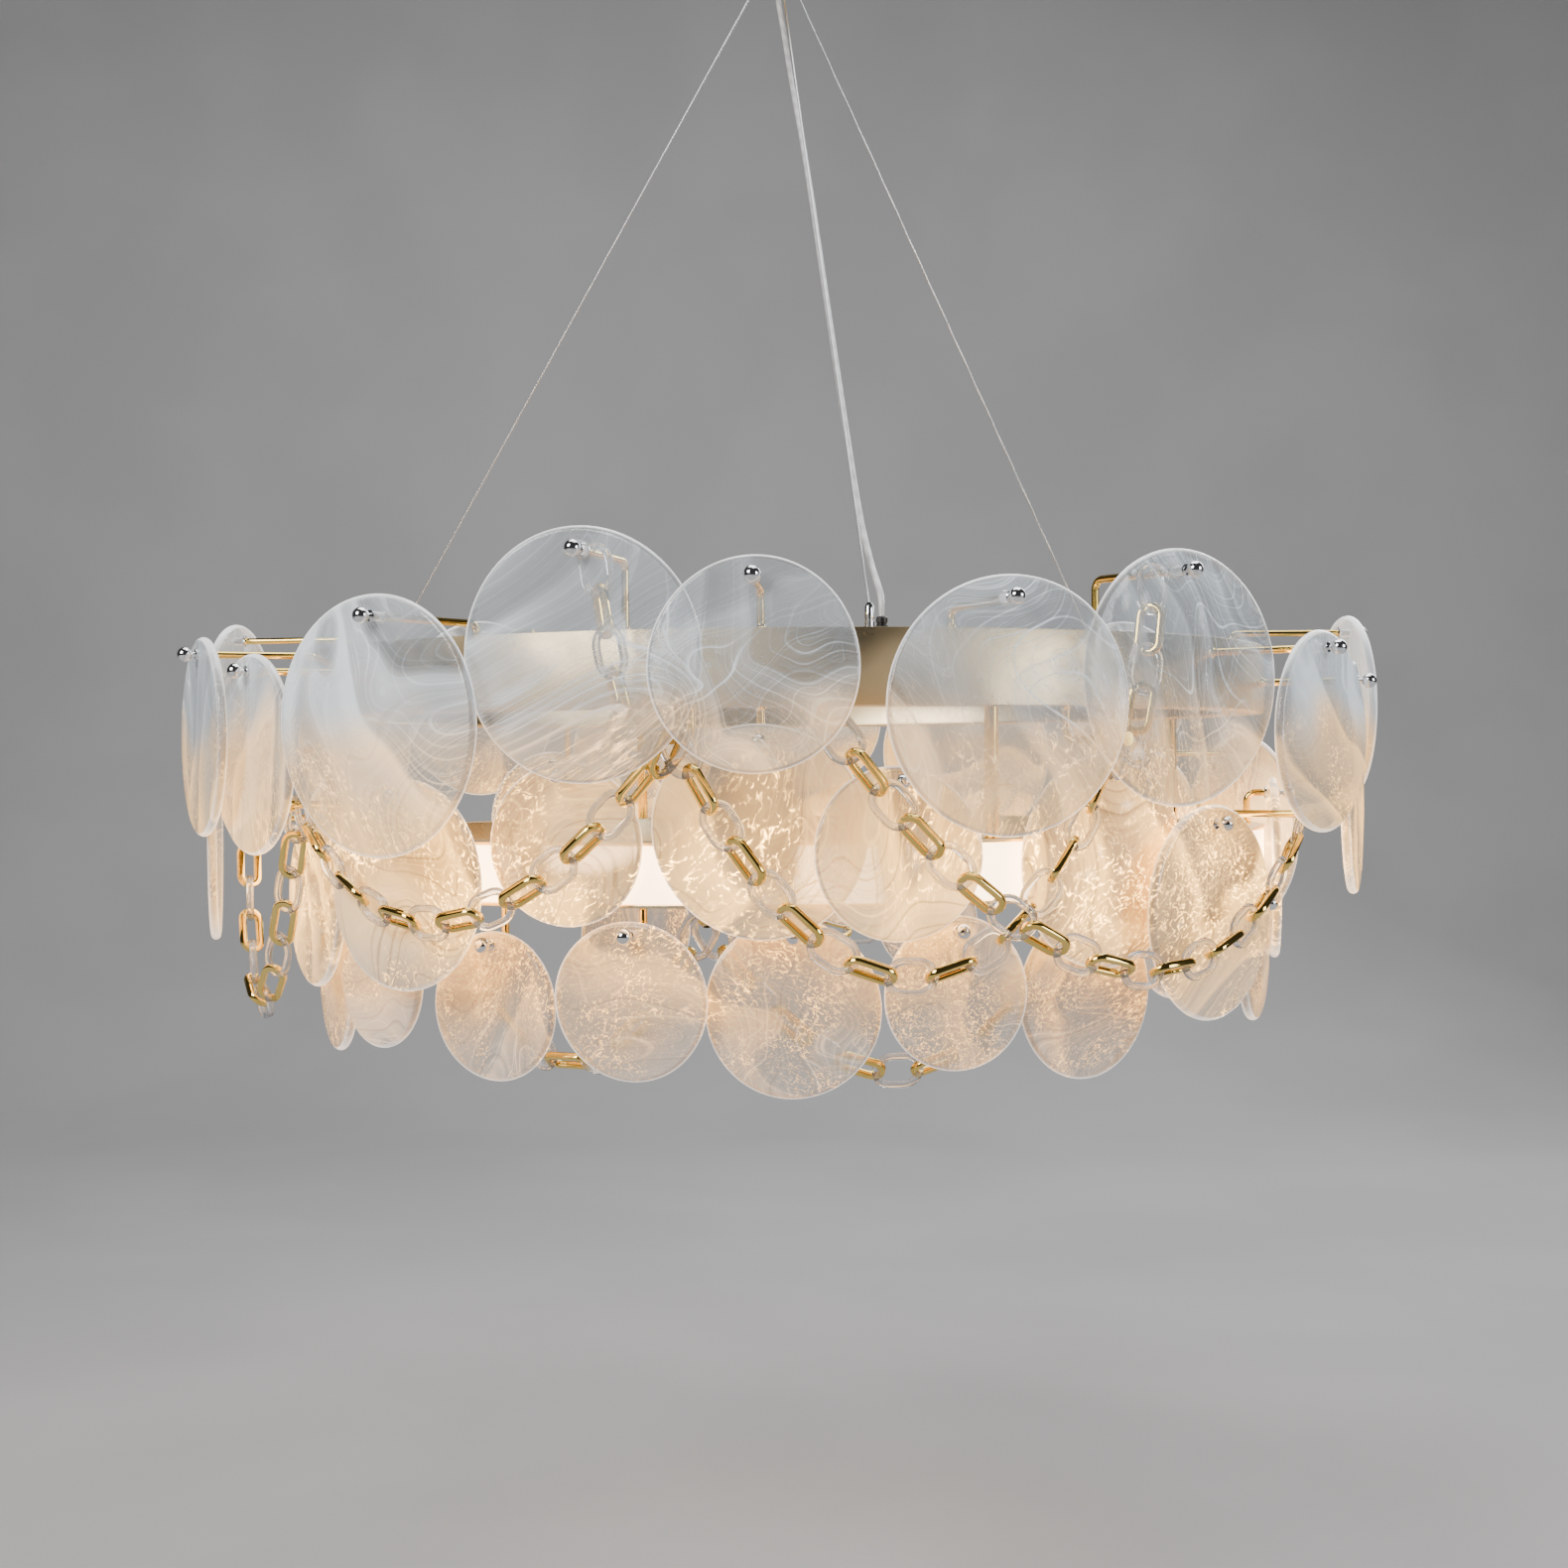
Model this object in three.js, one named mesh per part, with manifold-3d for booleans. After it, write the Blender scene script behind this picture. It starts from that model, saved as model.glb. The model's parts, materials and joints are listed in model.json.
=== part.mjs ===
// Ring chandelier: two gilt hoops on three steel wires, carrying glass discs on ball studs and
// swags of gilt and clear links. Millimetres, +Z up, origin on the ceiling under the mounting plate.
import * as THREE from 'three';
import { mergeVertices } from 'three/addons/utils/BufferGeometryUtils.js';
import Module from 'manifold-3d';

const wasm = await Module();
wasm.setup();

// Driving dimensions.
const fitGap = 0.3;
const overrun = 0.8;
const seatBite = 0.5;

const canopyRadius = 60;
const canopyHeight = 25;
const canopyWall = 1.6;
const canopyCorner = 5;
const plateRadius = 42;
const plateThickness = 3;
const plateStem = 9;
const gripCircle = 14.3;
const gripRadius = 3.4;
const gripLength = 9;
const gripTaperShare = 0.7;
const glandRadius = 4.6;

const wireRadius = 0.6;
const wireInset = 11;
const wireAzimuth = 8.75;
const wireAzimuths = [wireAzimuth, wireAzimuth + 120, wireAzimuth - 120];
const wireNames = ['wire_front', 'wire_right', 'wire_left'];
const ferruleRadius = 2.6;
const ferruleLength = 11;
const cordRadius = 1.7;
const cordSocketRadius = 3.2;
const cordSocketHeight = 6;
const cordSocketSide = 7;
const glandLength = 6;

const hoopRadius = 323;
const hoopDepth = 28;
const sheet = 2;
const upperHoopDrop = 499;
const upperHoopHeight = 43;
const hoopSpacing = 73.5;
const lowerHoopHeight = 36;
const riserRadius = 4;
const riserAzimuths = [22, 112, 202, 292];
const diffuserWall = 3;
const diffuserInset = 1;
const ledStripWall = 1.5;
const ledStripHeight = 12;

const rodRadius = 2.2;
const rodBend = 6;
const collarRadius = 4;
const collarThickness = 2;
const studRadius = 1.9;
const washerRadius = 3.4;
const washerThickness = 1.5;
const neckLength = 2;
const ballRadius = 4.6;
const holeRadius = 2.6;

const discThickness = 6;
const holeShare = 0.405;
const waverShare = 0.012;
const upperDiscDiameter = 140;
const upperDiscGap = 9;
const middleDiscDiameter = 120;
const middleDiscStandOff = 5;
const lowerDiscDiameter = 92;
const lowerDiscInset = 15;
const layerStep = 13;
const lowerLayerStep = 12;
const upperStudSpread = 60;
const middleStudSpread = 60;
const lowerStudDrop = 15;
const lowerStudSpread = 10;

const giltLink = { length: 30.5, width: 16, wire: 4.2 };
const clearLink = { length: 30, width: 22, wire: 4.4 };
const linkBite = 0.6;
const swagStandOff = 30;
const outerSwagStep = 12;
const hookSpread = 40;
const hookTip = 5;
const hookKnob = 2;

// Facet counts.
const hoopFacets = 36;
const turnedFacets = 18;
const rodFacets = 5;
const wireFacets = 6;
const hookFacets = 6;
const bendFacets = 2;
const studFacets = 6;
const discFacets = 18;
const holeFacets = 5;
const linkFacets = 8;
const linkSectionFacets = 4;
const cordFacets = 8;

// Levels below the ceiling.
const upperTop = -upperHoopDrop;
const upperBottom = upperTop - upperHoopHeight;
const lowerTop = upperBottom - hoopSpacing;
const lowerBottom = lowerTop - lowerHoopHeight;
const hoopInner = hoopRadius - hoopDepth;

// Distances out from the axis, each on the one within it.
const wireCircle = hoopRadius - wireInset;
const lowerDiscReach = hoopRadius - lowerDiscInset;
const middleDiscReach = hoopRadius + middleDiscStandOff;
const swagReach = middleDiscReach + swagStandOff;
const outerSwagReach = swagReach + outerSwagStep;
const upperDiscReach = outerSwagReach + upperDiscGap;

// Azimuth in degrees from the front, stud level above the upper hoop's foot as a share of the
// spread, diameter as a share of the tier's usual one, and layer, 1 for the outer.
const upperDiscShares = [
  [-77.5, -0.32, 0.99, 0], [-65, 0.65, 0.92, 1], [-55.9, 0.44, 0.9, 0], [-34.2, 0.84, 1.06, 1],
  [-16.2, 1.36, 0.98, 0], [-2.2, 1.08, 0.81, 1], [17.4, 0.9, 1, 1], [35.1, 1.21, 1.06, 0],
  [52.8, 0.56, 0.89, 1], [72, 0.31, 1.1, 0], [93, 0.95, 0.93, 1], [114.1, -0.42, 1.02, 0],
  [135.2, 1.2, 0.88, 1], [156.2, 0.6, 1.08, 0], [177.3, 1.05, 0.97, 1], [198.4, 0.5, 0.9, 0],
  [219.4, 1.28, 1.05, 1], [240.5, 0.7, 0.94, 0], [261.5, 1.0, 0.9, 1],
];
// The same for the middle tier, with the stud level above the lower hoop.
const middleDiscShares = [
  [-61.8, 0.09, 0.92, 0], [-39.2, 0.42, 1.06, 1], [-21.5, 0.61, 0.8, 0], [-2.3, 0.9, 1.01, 0],
  [10.3, 0.53, 0.8, 1], [33.2, 0.58, 1.02, 0], [46.5, 0.09, 1.07, 1], [80, 0.35, 1.04, 0],
  [125, 0.7, 0.95, 1], [170, 0.3, 1.05, 0], [214, 0.75, 0.9, 1], [259, 0.4, 1.04, 0],
];
// The same for the lower tier, with the stud level under the lower hoop.
const lowerDiscShares = [
  [-66.2, 0.15, 1.02, 0], [-48.2, -0.35, 0.95, 1], [-32.6, 0.8, 0.98, 0], [-15.4, 0, 0.99, 1],
  [0.7, 0.1, 1.09, 0], [17, -0.1, 0.94, 1], [33.7, 0.05, 1.07, 0], [67.6, -0.3, 0.92, 1],
  [112.8, 0.3, 1, 0], [158, 0, 0.96, 0], [203.2, 0.4, 1.05, 0], [248.5, -0.2, 0.95, 0],
];

// Swags: hooks as azimuth and level above the lower hoop as a share of the spread, and each swag's
// length as a share of the way between its hooks.
const swagTables = {
  swag_chain_left: {
    reach: swagReach,
    hookShares: [[-76, 0.25], [-53, 0.52], [-9.4, 1.42], [31, 1.36]],
    slackShares: [1.97, 1.2, 1.48],
  },
  swag_chain_right: {
    reach: outerSwagReach,
    hookShares: [[3.8, 1.56], [56.6, 0.25]],
    slackShares: [1.21],
  },
  swag_chain_back: {
    reach: swagReach,
    hookShares: [[149, 0.62], [191, 0.5]],
    slackShares: [1.42],
  },
};

// The power cord's route from canopy to socket: distance out along the front wire's azimuth, distance
// to its right, and drop below the ceiling.
const cordRoute = [
  [0, 0, 31.3], [0, 0, 38], [0.6, 0.2, 45], [3, 0.8, 54], [7.5, 1.6, 64], [14, 2.2, 76],
  [28, 2.8, 99], [51, 3.4, 132], [80, 3.8, 170], [111, 3.8, 212], [143, 3.4, 256],
  [175, 3.2, 301], [206, 3.4, 347], [236, 3.8, 392], [264, 4.6, 434], [288, 5.8, 461],
  [301, 6.6, 473], [308, 7, 480], [311.3, 7, 486], [312, 7, 492.7],
];

const finishes = {
  gilt: { color: 0xd0a445, roughness: 0.22, metalness: 1 },
  steel: { color: 0xc9ccd0, roughness: 0.25, metalness: 1 },
  diffuser: { color: 0xfff1dc, roughness: 0.6, metalness: 0 },
  ledStrip: { color: 0xf4ecd6, roughness: 0.7, metalness: 0 },
  cord: { color: 0xcfcfcf, roughness: 0.4, metalness: 0 },
  glass: { color: 0xeef2f6, roughness: 0.12, metalness: 0 },
  chain: { color: 0xdcb968, roughness: 0.2, metalness: 1 },
};

const chandelier = new THREE.Group();
const radians = THREE.MathUtils.degToRad;
const axisX = new THREE.Vector3(1, 0, 0);
const axisZ = new THREE.Vector3(0, 0, 1);

function outward(azimuth) {
  const angle = radians(azimuth);
  return new THREE.Vector3(Math.sin(angle), -Math.cos(angle), 0);
}

function place(azimuth, reach, level) {
  return outward(azimuth).multiplyScalar(reach).setZ(level);
}

function toSolid(geometry) {
  const bare = geometry.clone();
  bare.deleteAttribute('normal');
  bare.deleteAttribute('uv');
  const merged = mergeVertices(bare);
  const mesh = new wasm.Mesh({
    numProp: 3,
    vertProperties: Float32Array.from(merged.attributes.position.array),
    triVerts: Uint32Array.from(merged.index.array),
  });
  return new wasm.Manifold(mesh);
}

function toGeometry(solid) {
  const mesh = solid.getMesh();
  const geometry = new THREE.BufferGeometry();
  geometry.setAttribute('position', new THREE.BufferAttribute(Float32Array.from(mesh.vertProperties), 3));
  geometry.setIndex(new THREE.BufferAttribute(Uint32Array.from(mesh.triVerts), 1));
  geometry.computeVertexNormals();
  return geometry;
}

function joined(geometries) {
  return geometries.map(toSolid).reduce((sum, solid) => sum.add(solid));
}

function addMesh(name, geometry, finish, parent = chandelier) {
  const mesh = new THREE.Mesh(geometry, new THREE.MeshStandardMaterial(finishes[finish]));
  mesh.name = name;
  parent.add(mesh);
  return mesh;
}

// A closed turned form about +Z from [radius, level] points.
function turned(points, facets) {
  const profile = points.map(([radius, level]) => new THREE.Vector2(radius, level));
  const geometry = new THREE.LatheGeometry(profile, facets);
  geometry.rotateX(Math.PI / 2);
  return facingOut(geometry);
}

// Turns a closed geometry's faces outwards if it was wound the other way.
function facingOut(geometry) {
  const flat = mergeVertices(stripped(geometry));
  const { position } = flat.attributes;
  const index = flat.index.array;
  const corners = [new THREE.Vector3(), new THREE.Vector3(), new THREE.Vector3()];
  let volume = 0;
  for (let i = 0; i < index.length; i += 3) {
    corners.forEach((corner, k) => corner.fromBufferAttribute(position, index[i + k]));
    volume += corners[0].dot(corners[1].cross(corners[2]));
  }
  if (volume < 0) {
    for (let i = 0; i < index.length; i += 3) {
      [index[i], index[i + 1]] = [index[i + 1], index[i]];
    }
  }
  const kept = [];
  for (let i = 0; i < index.length; i += 3) {
    const [a, b, c] = [index[i], index[i + 1], index[i + 2]];
    if (a !== b && b !== c && c !== a) kept.push(a, b, c);
  }
  flat.setIndex(kept);
  flat.computeVertexNormals();
  return flat;
}

function stripped(geometry) {
  const bare = geometry.clone();
  bare.deleteAttribute('normal');
  bare.deleteAttribute('uv');
  return bare;
}

// A closed round bar through the given points, with mitred corners and flat ends.
function bar(points, radius, sides) {
  const positions = [];
  const index = [];
  const first = points[1].clone().sub(points[0]).normalize();
  const seed = Math.abs(first.z) > Math.SQRT1_2 ? axisX : axisZ;
  let side = seed.clone().cross(first).normalize();
  points.forEach((point, i) => {
    const before = point.clone().sub(points[Math.max(i - 1, 0)]).normalize();
    const after = points[Math.min(i + 1, points.length - 1)].clone().sub(point).normalize();
    const along = before.add(after).normalize();
    side = side.addScaledVector(along, -side.dot(along)).normalize();
    const up = along.clone().cross(side);
    for (let k = 0; k < sides; k += 1) {
      const angle = (2 * Math.PI * k) / sides;
      const rim = point.clone().addScaledVector(side, radius * Math.cos(angle));
      rim.addScaledVector(up, radius * Math.sin(angle));
      positions.push(rim.x, rim.y, rim.z);
    }
  });
  for (let i = 0; i + 1 < points.length; i += 1) {
    for (let k = 0; k < sides; k += 1) {
      const a = i * sides + k;
      const b = i * sides + ((k + 1) % sides);
      index.push(a, b, b + sides, a, b + sides, a + sides);
    }
  }
  const last = (points.length - 1) * sides;
  for (let k = 1; k + 1 < sides; k += 1) {
    index.push(0, k + 1, k, last, last + k, last + k + 1);
  }
  const geometry = new THREE.BufferGeometry();
  geometry.setAttribute('position', new THREE.Float32BufferAttribute(positions, 3));
  geometry.setIndex(index);
  return geometry;
}

// A channel hoop of folded sheet about +Z, open on one side.
function channel(top, height, openOutwards) {
  const wall = openOutwards ? hoopInner : hoopRadius;
  const lip = openOutwards ? hoopRadius : hoopInner;
  const inwards = openOutwards ? sheet : -sheet;
  const foot = top - height;
  return turned([
    [wall, foot], [lip, foot], [lip, foot + sheet], [wall + inwards, foot + sheet],
    [wall + inwards, top - sheet], [lip, top - sheet], [lip, top], [wall, top], [wall, foot],
  ], hoopFacets);
}

// A rod's points: straight from the hoop's wall, or from a flange with one bend, to a level and reach.
function rodPoints(azimuth, base, level, reach, standOff = -overrun) {
  if (base.level === null) {
    return [place(azimuth, hoopRadius - sheet, level), place(azimuth, reach, level)];
  }
  const climb = level - base.level;
  const run = reach - base.reach;
  const bend = Math.min(rodBend, Math.abs(climb) - 2 * overrun, Math.abs(run) - fitGap);
  const way = Math.sign(climb);
  const points = [place(azimuth, base.reach, base.level + way * standOff)];
  for (let step = 0; step <= bendFacets; step += 1) {
    const angle = (Math.PI / 2) * (step / bendFacets);
    const out = base.reach + Math.sign(run) * bend * (1 - Math.cos(angle));
    points.push(place(azimuth, out, level - way * bend * (1 - Math.sin(angle))));
  }
  points.push(place(azimuth, reach, level));
  return points;
}

// Which hoop a rod for the given level stands on, and where.
function rodBase(level, deep) {
  const reach = hoopRadius - (deep ? hoopDepth - rodRadius - overrun : 2 * rodBend);
  if (level > upperTop) return { hoop: 'upper', reach, level: upperTop };
  if (level > upperBottom + sheet) return { hoop: 'upper', reach, level: null };
  if (level > upperBottom - hoopSpacing / 2) return { hoop: 'upper', reach, level: upperBottom };
  if (level > lowerTop) return { hoop: 'lower', reach, level: lowerTop };
  return { hoop: 'lower', reach, level: lowerBottom };
}

// The stud that carries a disc: collar, shank, washer, neck and ball, turned about the outward line.
function stud(azimuth, reach, level) {
  const back = reach - discThickness / 2 - fitGap;
  const front = reach + discThickness / 2 + fitGap;
  const neckEnd = front + washerThickness + neckLength;
  const ballCentre = neckEnd + ballRadius - seatBite;
  const profile = [
    [0, back - collarThickness], [collarRadius, back], [studRadius, back], [studRadius, front],
    [washerRadius, front], [studRadius, front + washerThickness],
    [ballRadius * Math.SQRT1_2, ballCentre - ballRadius * Math.SQRT1_2], [ballRadius, ballCentre],
    [ballRadius * Math.SQRT1_2, ballCentre + ballRadius * Math.SQRT1_2], [0, ballCentre + ballRadius],
  ];
  const geometry = turned(profile, studFacets);
  geometry.rotateX(Math.PI / 2);
  geometry.rotateZ(radians(azimuth));
  geometry.translate(0, 0, level);
  return geometry;
}

// A cast glass disc hung by a hole near its rim, about its stud's axis, facing the front.
function discGeometry(diameter, seed) {
  const drop = diameter * holeShare;
  const outline = new THREE.Shape();
  for (let k = 0; k < discFacets; k += 1) {
    const angle = (2 * Math.PI * k) / discFacets;
    const waver = Math.sin(2 * angle + seed) + Math.sin(3 * angle + 2 * seed) / 2 - 1;
    const radius = (diameter / 2) * (1 + waverShare * waver);
    const x = radius * Math.cos(angle);
    const y = radius * Math.sin(angle) - drop;
    if (k === 0) outline.moveTo(x, y);
    else outline.lineTo(x, y);
  }
  const hole = new THREE.Path();
  for (let k = 0; k < holeFacets; k += 1) {
    const angle = (2 * Math.PI * k) / holeFacets;
    const x = holeRadius * Math.cos(angle);
    const y = -holeRadius * Math.sin(angle);
    if (k === 0) hole.moveTo(x, y);
    else hole.lineTo(x, y);
  }
  outline.holes.push(hole);
  const geometry = new THREE.ExtrudeGeometry(outline, { depth: discThickness, bevelEnabled: false });
  geometry.rotateX(Math.PI / 2);
  geometry.translate(0, discThickness / 2, 0);
  return facingOut(geometry);
}

function hangDisc(name, seed, azimuth, reach, level, diameter) {
  const arm = new THREE.Group();
  arm.rotation.z = radians(azimuth);
  chandelier.add(arm);
  const disc = addMesh(name, discGeometry(diameter, seed), 'glass', arm);
  disc.position.set(0, -reach, level);
}

// Each tier's discs, with the rods and studs that its hoop grows for them.
function tier(prefix, shares, levelOf, reachOf, diameter, rods) {
  shares.forEach(([azimuth, levelShare, sizeShare, layer], i) => {
    const level = levelOf(levelShare);
    const reach = reachOf(layer);
    const base = rodBase(level, prefix === 'lower');
    const end = reach - discThickness / 2 - fitGap - collarThickness + seatBite;
    const rod = bar(rodPoints(azimuth, base, level, end), rodRadius, rodFacets);
    rods[base.hoop].push(rod, stud(azimuth, reach, level));
    const number = String(i + 1).padStart(2, '0');
    hangDisc(`${prefix}_disc_${number}`, i, azimuth, reach, level, diameter * sizeShare);
  });
}

function link(size) {
  const wire = size.wire / 2;
  const bow = size.width / 2 - wire;
  const straight = size.length / 2 - wire - bow * Math.cos(Math.PI / linkFacets);
  const geometry = new THREE.TorusGeometry(bow, wire, linkSectionFacets, linkFacets);
  geometry.rotateZ(Math.PI / linkFacets);
  const { position } = geometry.attributes;
  for (let i = 0; i < position.count; i += 1) {
    position.setX(i, position.getX(i) + Math.sign(position.getX(i)) * straight);
  }
  return geometry;
}

const linkPitch = giltLink.length / 2 + clearLink.length / 2 - giltLink.wire - clearLink.wire + linkBite;
const hookDrop = clearLink.length / 2 - clearLink.wire - rodRadius + linkBite;

// A point on a swag: a parabola in level that follows the hoop between its two hooks.
function swagPoint(from, to, reach, sag, t) {
  const azimuth = from[0] + (to[0] - from[0]) * t;
  const level = from[1] + (to[1] - from[1]) * t - 4 * sag * t * (1 - t);
  return place(azimuth, reach, level);
}

// Link centres walked down one side of the swag and up the other at the links' pitch.
function walkSwag(from, to, reach, sag, count) {
  const centres = [];
  let t = 0;
  let here = swagPoint(from, to, reach, sag, 0);
  for (let i = 0; i < count; i += 1) {
    const stride = i === 0 ? hookDrop : linkPitch;
    let low = t;
    let high = t + 0.5;
    for (let halving = 0; halving < 40; halving += 1) {
      const middle = (low + high) / 2;
      if (swagPoint(from, to, reach, sag, middle).distanceTo(here) < stride) low = middle;
      else high = middle;
    }
    t = high;
    here = swagPoint(from, to, reach, sag, t);
    centres.push(here);
  }
  const end = swagPoint(from, to, reach, sag, 1);
  return { centres, slack: t < 1 ? here.distanceTo(end) - hookDrop : -hookDrop };
}

// An odd number of links for the swag's length, the sag that makes them fill it, and the links.
function fillSwag(from, to, reach, slackShare) {
  const way = Math.hypot(radians(to[0] - from[0]) * reach, to[1] - from[1]);
  const pairs = Math.round((way * slackShare - 2 * hookDrop) / (2 * linkPitch));
  const count = 2 * pairs + 1;
  let low = 0;
  let high = hoopRadius;
  for (let halving = 0; halving < 40; halving += 1) {
    const middle = (low + high) / 2;
    if (walkSwag(from, to, reach, middle, count).slack < 0) low = middle;
    else high = middle;
  }
  const hooks = [place(from[0], reach, from[1]), place(to[0], reach, to[1])];
  const { centres } = walkSwag(from, to, reach, high, count);
  const stations = [hooks[0], ...centres, hooks[1]];
  return centres.map((centre, i) => {
    const size = i % 2 === 0 ? clearLink : giltLink;
    const along = stations[i + 2].clone().sub(stations[i]).normalize();
    if (i === 0) along.copy(centre).sub(hooks[0]).normalize();
    if (i === count - 1) along.copy(hooks[1]).sub(centre).normalize();
    const out = centre.clone().setZ(0).normalize();
    const face = out.addScaledVector(along, -out.dot(along)).normalize();
    const across = face.clone().cross(along);
    const frame = new THREE.Matrix4();
    if (i % 2 === 0) frame.makeBasis(along, across, face);
    else frame.makeBasis(along, face.clone().negate(), across);
    frame.setPosition(centre);
    return link(size).applyMatrix4(frame);
  });
}

// A strand of swags and the hooks that it hangs on, which stand on the hoops.
function strand(name, table, levelOf) {
  const hooks = table.hookShares.map(([azimuth, share]) => [azimuth, levelOf(share)]);
  const pieces = hooks.flatMap(([azimuth, level]) => {
    const base = rodBase(level, false);
    const tip = table.reach + Math.sign(table.reach - base.reach) * hookTip;
    const knob = [place(azimuth, tip - overrun, level), place(azimuth, tip + hookKnob, level)];
    return [
      bar(rodPoints(azimuth, base, level, tip, fitGap), rodRadius, hookFacets),
      bar(knob, collarRadius, hookFacets),
    ];
  });
  table.slackShares.forEach((slackShare, i) => {
    pieces.push(...fillSwag(hooks[i], hooks[i + 1], table.reach, slackShare));
  });
  addMesh(name, toGeometry(joined(pieces)), 'chain');
}

function addCanopy() {
  const stemEnd = -canopyHeight + canopyWall + fitGap;
  addMesh('mounting_plate', turned([
    [0, 0], [plateRadius, 0], [plateRadius, -plateThickness], [plateStem, -plateThickness],
    [plateStem, stemEnd], [0, stemEnd],
  ], turnedFacets), 'steel');
  const inner = canopyRadius - canopyWall;
  const cup = turned([
    [canopyRadius, 0], [canopyRadius, -canopyHeight + canopyCorner],
    [canopyRadius - canopyCorner * (1 - Math.SQRT1_2), -canopyHeight + canopyCorner * (1 - Math.SQRT1_2)],
    [canopyRadius - canopyCorner, -canopyHeight], [0, -canopyHeight], [0, -canopyHeight + canopyWall],
    [inner - canopyCorner, -canopyHeight + canopyWall], [inner, -canopyHeight + canopyCorner],
    [inner, 0], [canopyRadius, 0],
  ], hoopFacets);
  const boss = (radius, length) => turned([
    [0, -canopyHeight + overrun], [radius, -canopyHeight + overrun], [radius, -canopyHeight],
    [radius * gripTaperShare, -canopyHeight - length], [0, -canopyHeight - length],
  ], turnedFacets / 2);
  const grips = wireAzimuths.map((azimuth) => {
    const at = place(azimuth, gripCircle, 0);
    return boss(gripRadius, gripLength).translate(at.x, at.y, 0);
  });
  addMesh('ceiling_canopy', toGeometry(joined([cup, boss(glandRadius, glandLength), ...grips])), 'gilt');
}

function addWires() {
  wireAzimuths.forEach((azimuth, i) => {
    const foot = upperTop + fitGap;
    const at = place(azimuth, wireCircle, 0);
    const ferrule = turned([
      [0, foot], [ferruleRadius, foot], [ferruleRadius, foot + ferruleLength],
      [wireRadius * 2, foot + ferruleLength + ferruleRadius], [0, foot + ferruleLength + ferruleRadius],
    ], turnedFacets / 3).translate(at.x, at.y, 0);
    const low = place(azimuth, wireCircle, foot + ferruleLength);
    const high = place(azimuth, gripCircle, -canopyHeight - gripLength - fitGap);
    const wire = bar([low, high], wireRadius, wireFacets);
    addMesh(wireNames[i], toGeometry(joined([ferrule, wire])), 'steel');
  });
}

function addCord() {
  const points = cordRoute.map(([out, side, drop]) => {
    const right = outward(wireAzimuth + 90).multiplyScalar(side);
    return place(wireAzimuth, out, -drop).add(right);
  });
  addMesh('power_cord', facingOut(bar(points, cordRadius, cordFacets)), 'cord');
}

function addHoops(rods) {
  const socketAt = place(wireAzimuth, wireCircle, 0);
  socketAt.add(outward(wireAzimuth + 90).multiplyScalar(cordSocketSide));
  const socket = turned([
    [0, upperTop - overrun], [cordSocketRadius, upperTop - overrun],
    [cordSocketRadius, upperTop + cordSocketHeight], [0, upperTop + cordSocketHeight],
  ], turnedFacets / 3).translate(socketAt.x, socketAt.y, 0);
  const upper = [channel(upperTop, upperHoopHeight, false), socket, ...rods.upper];
  addMesh('upper_hoop', toGeometry(joined(upper)), 'gilt');
  const risers = riserAzimuths.map((azimuth) => bar([
    place(azimuth, hoopRadius - hoopDepth / 2, lowerTop - overrun),
    place(azimuth, hoopRadius - hoopDepth / 2, upperBottom - fitGap),
  ], riserRadius, rodFacets));
  const lower = [channel(lowerTop, lowerHoopHeight, true), ...risers, ...rods.lower];
  addMesh('lower_hoop', toGeometry(joined(lower)), 'gilt');
  const diffuserFoot = lowerBottom + sheet + fitGap;
  const diffuserTop = lowerTop - sheet - fitGap;
  const skin = hoopRadius - diffuserInset;
  addMesh('diffuser', turned([
    [skin, diffuserFoot], [skin, diffuserTop], [skin - diffuserWall, diffuserTop],
    [skin - diffuserWall, diffuserFoot], [skin, diffuserFoot],
  ], hoopFacets), 'diffuser');
  const back = hoopInner + sheet + fitGap;
  const stripFoot = (lowerTop + lowerBottom - ledStripHeight) / 2;
  addMesh('led_strip', turned([
    [back, stripFoot], [back + ledStripWall, stripFoot], [back + ledStripWall, stripFoot + ledStripHeight],
    [back, stripFoot + ledStripHeight], [back, stripFoot],
  ], hoopFacets), 'ledStrip');
}

const rods = { upper: [], lower: [] };
tier(
  'upper', upperDiscShares, (share) => upperBottom + share * upperStudSpread,
  (layer) => upperDiscReach + layer * layerStep, upperDiscDiameter, rods,
);
tier(
  'middle', middleDiscShares, (share) => lowerTop + share * middleStudSpread,
  (layer) => middleDiscReach + layer * layerStep, middleDiscDiameter, rods,
);
tier(
  'lower', lowerDiscShares, (share) => lowerBottom - lowerStudDrop - share * lowerStudSpread,
  (layer) => lowerDiscReach + layer * lowerLayerStep, lowerDiscDiameter, rods,
);
addHoops(rods);
addCanopy();
addWires();
addCord();
Object.entries(swagTables).forEach(([name, table]) => {
  strand(name, table, (share) => lowerTop + share * hookSpread);
});

export default chandelier;
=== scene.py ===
import json
import math
import bpy
from mathutils import Matrix, Vector


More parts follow.
